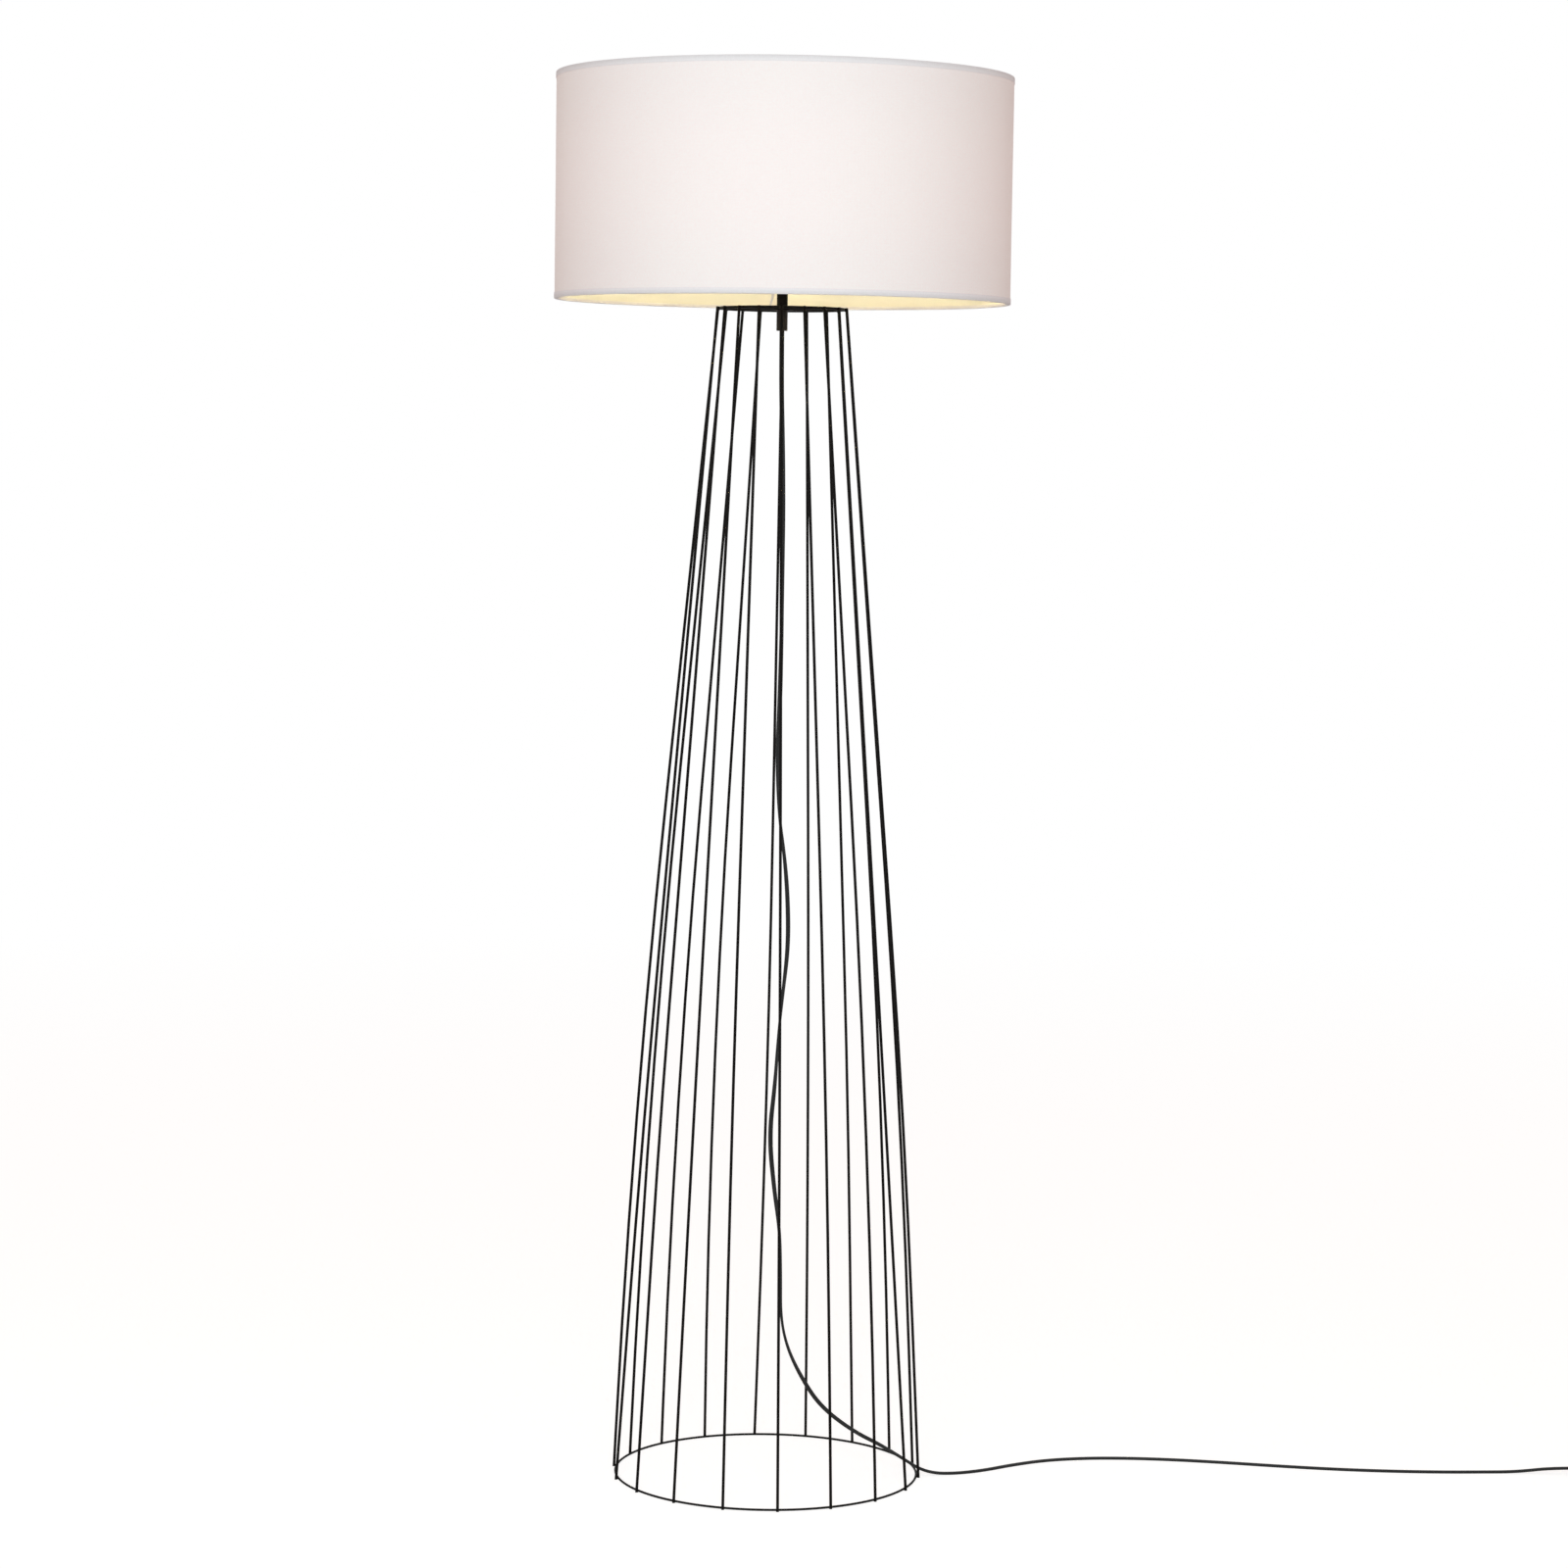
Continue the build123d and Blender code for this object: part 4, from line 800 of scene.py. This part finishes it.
def drum(name, radius, low, high, segments, rows):
    """An open cylinder of even quads."""
    bpy.ops.mesh.primitive_cylinder_add(
        vertices=segments, radius=radius, depth=high - low, end_fill_type="NOTHING",
        location=(0, 0, (low + high) / 2),
    )
    piece = bpy.context.object
    piece.name = name
    bpy.ops.object.transform_apply(location=True, rotation=True, scale=True)
    bpy.ops.object.mode_set(mode="EDIT")
    bpy.ops.mesh.select_mode(type="EDGE")
    bpy.ops.mesh.select_all(action="DESELECT")
    bpy.ops.object.mode_set(mode="OBJECT")
    for edge in piece.data.edges:
        one, other = (piece.data.vertices[v].co for v in edge.vertices)
        edge.select = abs(one.z - other.z) > 0.01
    bpy.ops.object.mode_set(mode="EDIT")
    bpy.ops.mesh.subdivide(number_cuts=rows - 1)
    bpy.ops.object.mode_set(mode="OBJECT")
    return piece


def unroll(piece, radius):
    """A UV map in metres: the way round from the seam, and the height."""
    layer = piece.data.uv_layers.active or piece.data.uv_layers.new(name="unrolled")
    start = math.radians(SEAM_DEGREES)
    for face in piece.data.polygons:
        middle = (math.atan2(face.center.x, -face.center.y) - start) % (2 * math.pi)
        for loop in face.loop_indices:
            corner = piece.data.vertices[piece.data.loops[loop].vertex_index].co
            turn = (math.atan2(corner.x, -corner.y) - start) % (2 * math.pi)
            if turn - middle > math.pi:
                turn -= 2 * math.pi
            if middle - turn > math.pi:
                turn += 2 * math.pi
            layer.data[loop].uv = (turn * radius, corner.z)


CLOTH_THICK = 0.0005
WAVE_DEPTH = 0.00022
cover = drum("shade_cloth", COVER_RADIUS - 0.0003, SHADE_LOW, SHADE_HIGH, 288, 28)
# The cloth isn't a true cylinder: it swells and sinks by a fifth of a millimetre between its wires
for vertex in cover.data.vertices:
    out = Vector((vertex.co.x, vertex.co.y, 0)).normalized()
    wave = noise.noise(Vector((out.x * 3.1, out.y * 3.1, vertex.co.z * 9))) * WAVE_DEPTH
    vertex.co += out * (wave - 0.0001)
give_wall(cover, CLOTH_THICK)
unroll(cover, COVER_RADIUS)
BULB_HEIGHT = 1.43
SHADE_MIDDLE = 1.4275
SHADE_HALF = 0.1225


def weave(name, one, other, patch, thread, depth, glow, dim, bright, fold=1.0):
    """Plain weave on the unrolled cloth, with slubs and slow changes of tone. Its emission is a painted
    glow, strongest at the bulb's height. Where it is folded over a wire no light comes through, and its
    colour is darkened there by the fold's share as painted shade."""
    made, tree, shader, place = principled(name, 0.85, specular=0.25)
    flat = node(tree, "TexCoord").outputs["UV"]
    threads = {"Vector": flat, "Scale": 1 / (thread * 20), "Distortion": 0.6, "Detail": 1.0,
               "Detail Scale": 40.0}
    warp = node(tree, "TexWave", threads, bands_direction="X")
    weft = node(tree, "TexWave", threads, bands_direction="Y")
    cloth = node(tree, "Math", {0: warp.outputs["Fac"], 1: weft.outputs["Fac"]}, operation="MULTIPLY")
    across = node(tree, "Mapping", {"Vector": flat, "Scale": (220, 900, 1)})
    down = node(tree, "Mapping", {"Vector": flat, "Scale": (900, 220, 1)})
    slub_one = node(tree, "TexNoise", {"Vector": across.outputs[0], "Scale": 1.0, "Detail": 2.0})
    slub_two = node(tree, "TexNoise", {"Vector": down.outputs[0], "Scale": 1.0, "Detail": 2.0})
    slubs = node(tree, "Math", {0: slub_one.outputs["Fac"], 1: slub_two.outputs["Fac"]}, operation="ADD")
    base = mottle(tree, place, patch, one, other, detail=2.0)
    light = node(tree, "MapRange", {"Value": slubs.outputs[0], "From Min": 0.7, "From Max": 1.3,
                                    "To Min": 0.965, "To Max": 1.02})
    tone = node(tree, "VectorMath", {0: base}, operation="SCALE")
    tree.links.new(light.outputs["Result"], tone.inputs["Scale"])
    height = node(tree, "SeparateXYZ", {0: place}).outputs["Z"]
    middle = node(tree, "Math", {0: height, 1: SHADE_MIDDLE}, operation="SUBTRACT")
    from_middle = node(tree, "Math", {0: middle.outputs[0]}, operation="ABSOLUTE")
    # Painted shade: the colour is darkened towards both edges of the shade by the fold's share
    fold_painted_shade = node(tree, "MapRange", {"Value": from_middle.outputs[0], "From Min": SHADE_HALF - 0.0045,
                                     "From Max": SHADE_HALF - 0.0015, "To Min": 1.0, "To Max": fold})
    shown = node(tree, "VectorMath", {0: tone.outputs[0]}, operation="SCALE")
    tree.links.new(fold_painted_shade.outputs["Result"], shown.inputs["Scale"])
    tree.links.new(shown.outputs[0], shader.inputs["Base Color"])
    rough = node(tree, "Math", {0: slubs.outputs[0], 1: cloth.outputs[0]}, operation="ADD")
    bump = node(tree, "Bump", {"Height": rough.outputs[0], "Distance": depth, "Strength": 0.6})
    tree.links.new(bump.outputs["Normal"], shader.inputs["Normal"])
    shader.inputs["Sheen Weight"].default_value = 0.15
    shader.inputs["Sheen Roughness"].default_value = 0.5
    # Painted glow: the emission is strongest at the bulb's height, as if the bulb's light came through
    above = node(tree, "Math", {0: height, 1: BULB_HEIGHT}, operation="SUBTRACT")
    away = node(tree, "Math", {0: above.outputs[0]}, operation="ABSOLUTE")
    lit = node(tree, "MapRange", {"Value": away.outputs[0], "From Min": 0.02, "From Max": 0.12,
                                  "To Min": bright, "To Max": dim}, interpolation_type="SMOOTHSTEP")
    shader.inputs["Emission Color"].default_value = (*glow, 1)
    tree.links.new(lit.outputs["Result"], shader.inputs["Emission Strength"])
    return made


# Its emission, 0.165 at the bulb's height and 0.135 further off, is a painted glow
shade_cloth = weave("shade_cloth", (0.92, 0.862, 0.855), (0.92, 0.876, 0.862), 5.0, 0.0006, 0.00015,
                    (1.0, 0.72, 0.65), 0.135, 0.165)
dress(cover, "lamp", shade_cloth)
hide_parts("shade_cover")

# Back seam of the cover: the cloth's folded edge, lapped over and glued
SEAM_INSET = 0.0008
seam_turn = math.radians(SEAM_DEGREES)


def upright_strip(name, radius, turns, low, high, thickness):
    """A thin upright strip on the drum, at a radius and through some turns."""
    corners = [(radius * math.sin(turn), -radius * math.cos(turn), low) for turn in turns]
    return strip(name, corners, (0, 0, high - low), thickness)


seam_turns = [seam_turn + 0.008 * k for k in range(7)]
seam = upright_strip("shade_seam", COVER_RADIUS, seam_turns, SHADE_LOW + SEAM_INSET,
                     SHADE_HIGH - SEAM_INSET, 0.0004)
unroll(seam, COVER_RADIUS)
dress(seam, "lamp", shade_cloth)

# Shade lining: a cream film glued inside the cloth, lapped at the back
LINING_RADIUS = 0.24840
FILM_THICK = 0.0005
lining = drum("lining_film", LINING_RADIUS + FILM_THICK / 2, SHADE_LOW, SHADE_HIGH, 288, 8)
give_wall(lining, FILM_THICK)
unroll(lining, LINING_RADIUS)

# Lap of the lining: the film's end glued over its start, with a line of dried glue along its edge
LAP_RADIUS = 0.24838
GLUE_RADIUS = 0.24815
LAP_DEGREES = 179.7
LAP_LOW = SHADE_LOW + 0.0040
LAP_HIGH = SHADE_HIGH - 0.0070
lap_turn = math.radians(LAP_DEGREES)
lap_turns = [lap_turn + 0.010 * k for k in range(5)]
glue_turns = (lap_turn - 0.0025, lap_turn + 0.0005)
lining_lap = upright_strip("lining_lap", LAP_RADIUS, lap_turns, LAP_LOW, LAP_HIGH, 0.0003)
glue_line = upright_strip("lining_glue_line", GLUE_RADIUS, glue_turns, LAP_LOW, LAP_HIGH, 0.0002)
glue_tan = mottled("glue_tan", (0.62, 0.46, 0.27), (0.70, 0.55, 0.36), 80, 900, 0.00005,
                   (0.3, 0.5), specular=0.3)
dress(glue_line, "lamp", glue_tan)
lining_film = mottled("lining_film", (0.96, 0.92, 0.83), (0.95, 0.90, 0.80), 6, 500, 0.00006,
                      (0.42, 0.55), specular=0.3)
dress(lining, "lamp", lining_film)
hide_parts("shade_lining")
dress(lining_lap, "lamp", lining_film)

# Hems: narrow cloth tape glued over both edges and round the wires
HEM_OUT = 0.2500
HEM_IN = 0.2449
HEM_THICK = 0.0004


def hem_outline(edge, up, outer_leg, inner_leg):
    """The tape's section, with rounded folds, from the outer leg's end to the inner leg's."""
    fold = 0.0009
    lip = HEM_THICK * 0.3
    turns = (0, 0.39, 0.79, 1.18, 1.57)
    rounded = [(fold * (1 - math.cos(turn)), fold * (1 - math.sin(turn))) for turn in turns]
    section = [(HEM_OUT - HEM_THICK, outer_leg), (HEM_OUT - lip, outer_leg), (HEM_OUT, outer_leg - 0.0003)]
    section += [(HEM_OUT - across, height) for across, height in rounded]
    section += [(HEM_IN + across, height) for across, height in rounded[::-1]]
    section += [(HEM_IN, inner_leg - 0.0003), (HEM_IN + lip, inner_leg), (HEM_IN + HEM_THICK, inner_leg)]
    section += [(HEM_IN + HEM_THICK, fold), (HEM_IN + fold, HEM_THICK)]
    section += [(HEM_OUT - fold, HEM_THICK), (HEM_OUT - HEM_THICK, fold)]
    return [(radius, edge + up * height) for radius, height in section]


# The hem tape's weak even emission is a painted glow, and fold=0.88 darkens its colour near the edges as
# painted shade
hem_tape = weave("hem_tape", (0.895, 0.86, 0.862), (0.905, 0.872, 0.872), 9.0, 0.0005, 0.00012,
                 (1.0, 0.8, 0.95), 0.05, 0.05, fold=0.88)
for name, replaced, edge, up, inner_leg in (
    ("hem_bottom", "shade_bottom_hem", 1.305, 1, 0.0033),
    ("hem_top", "shade_top_hem", 1.550, -1, 0.0065),
):
    hem = turned(name, hem_outline(edge, up, 0.0065, inner_leg), 288, closed=True)
    unroll(hem, HEM_OUT)
    dress(hem, "lamp", hem_tape)
    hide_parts(replaced)
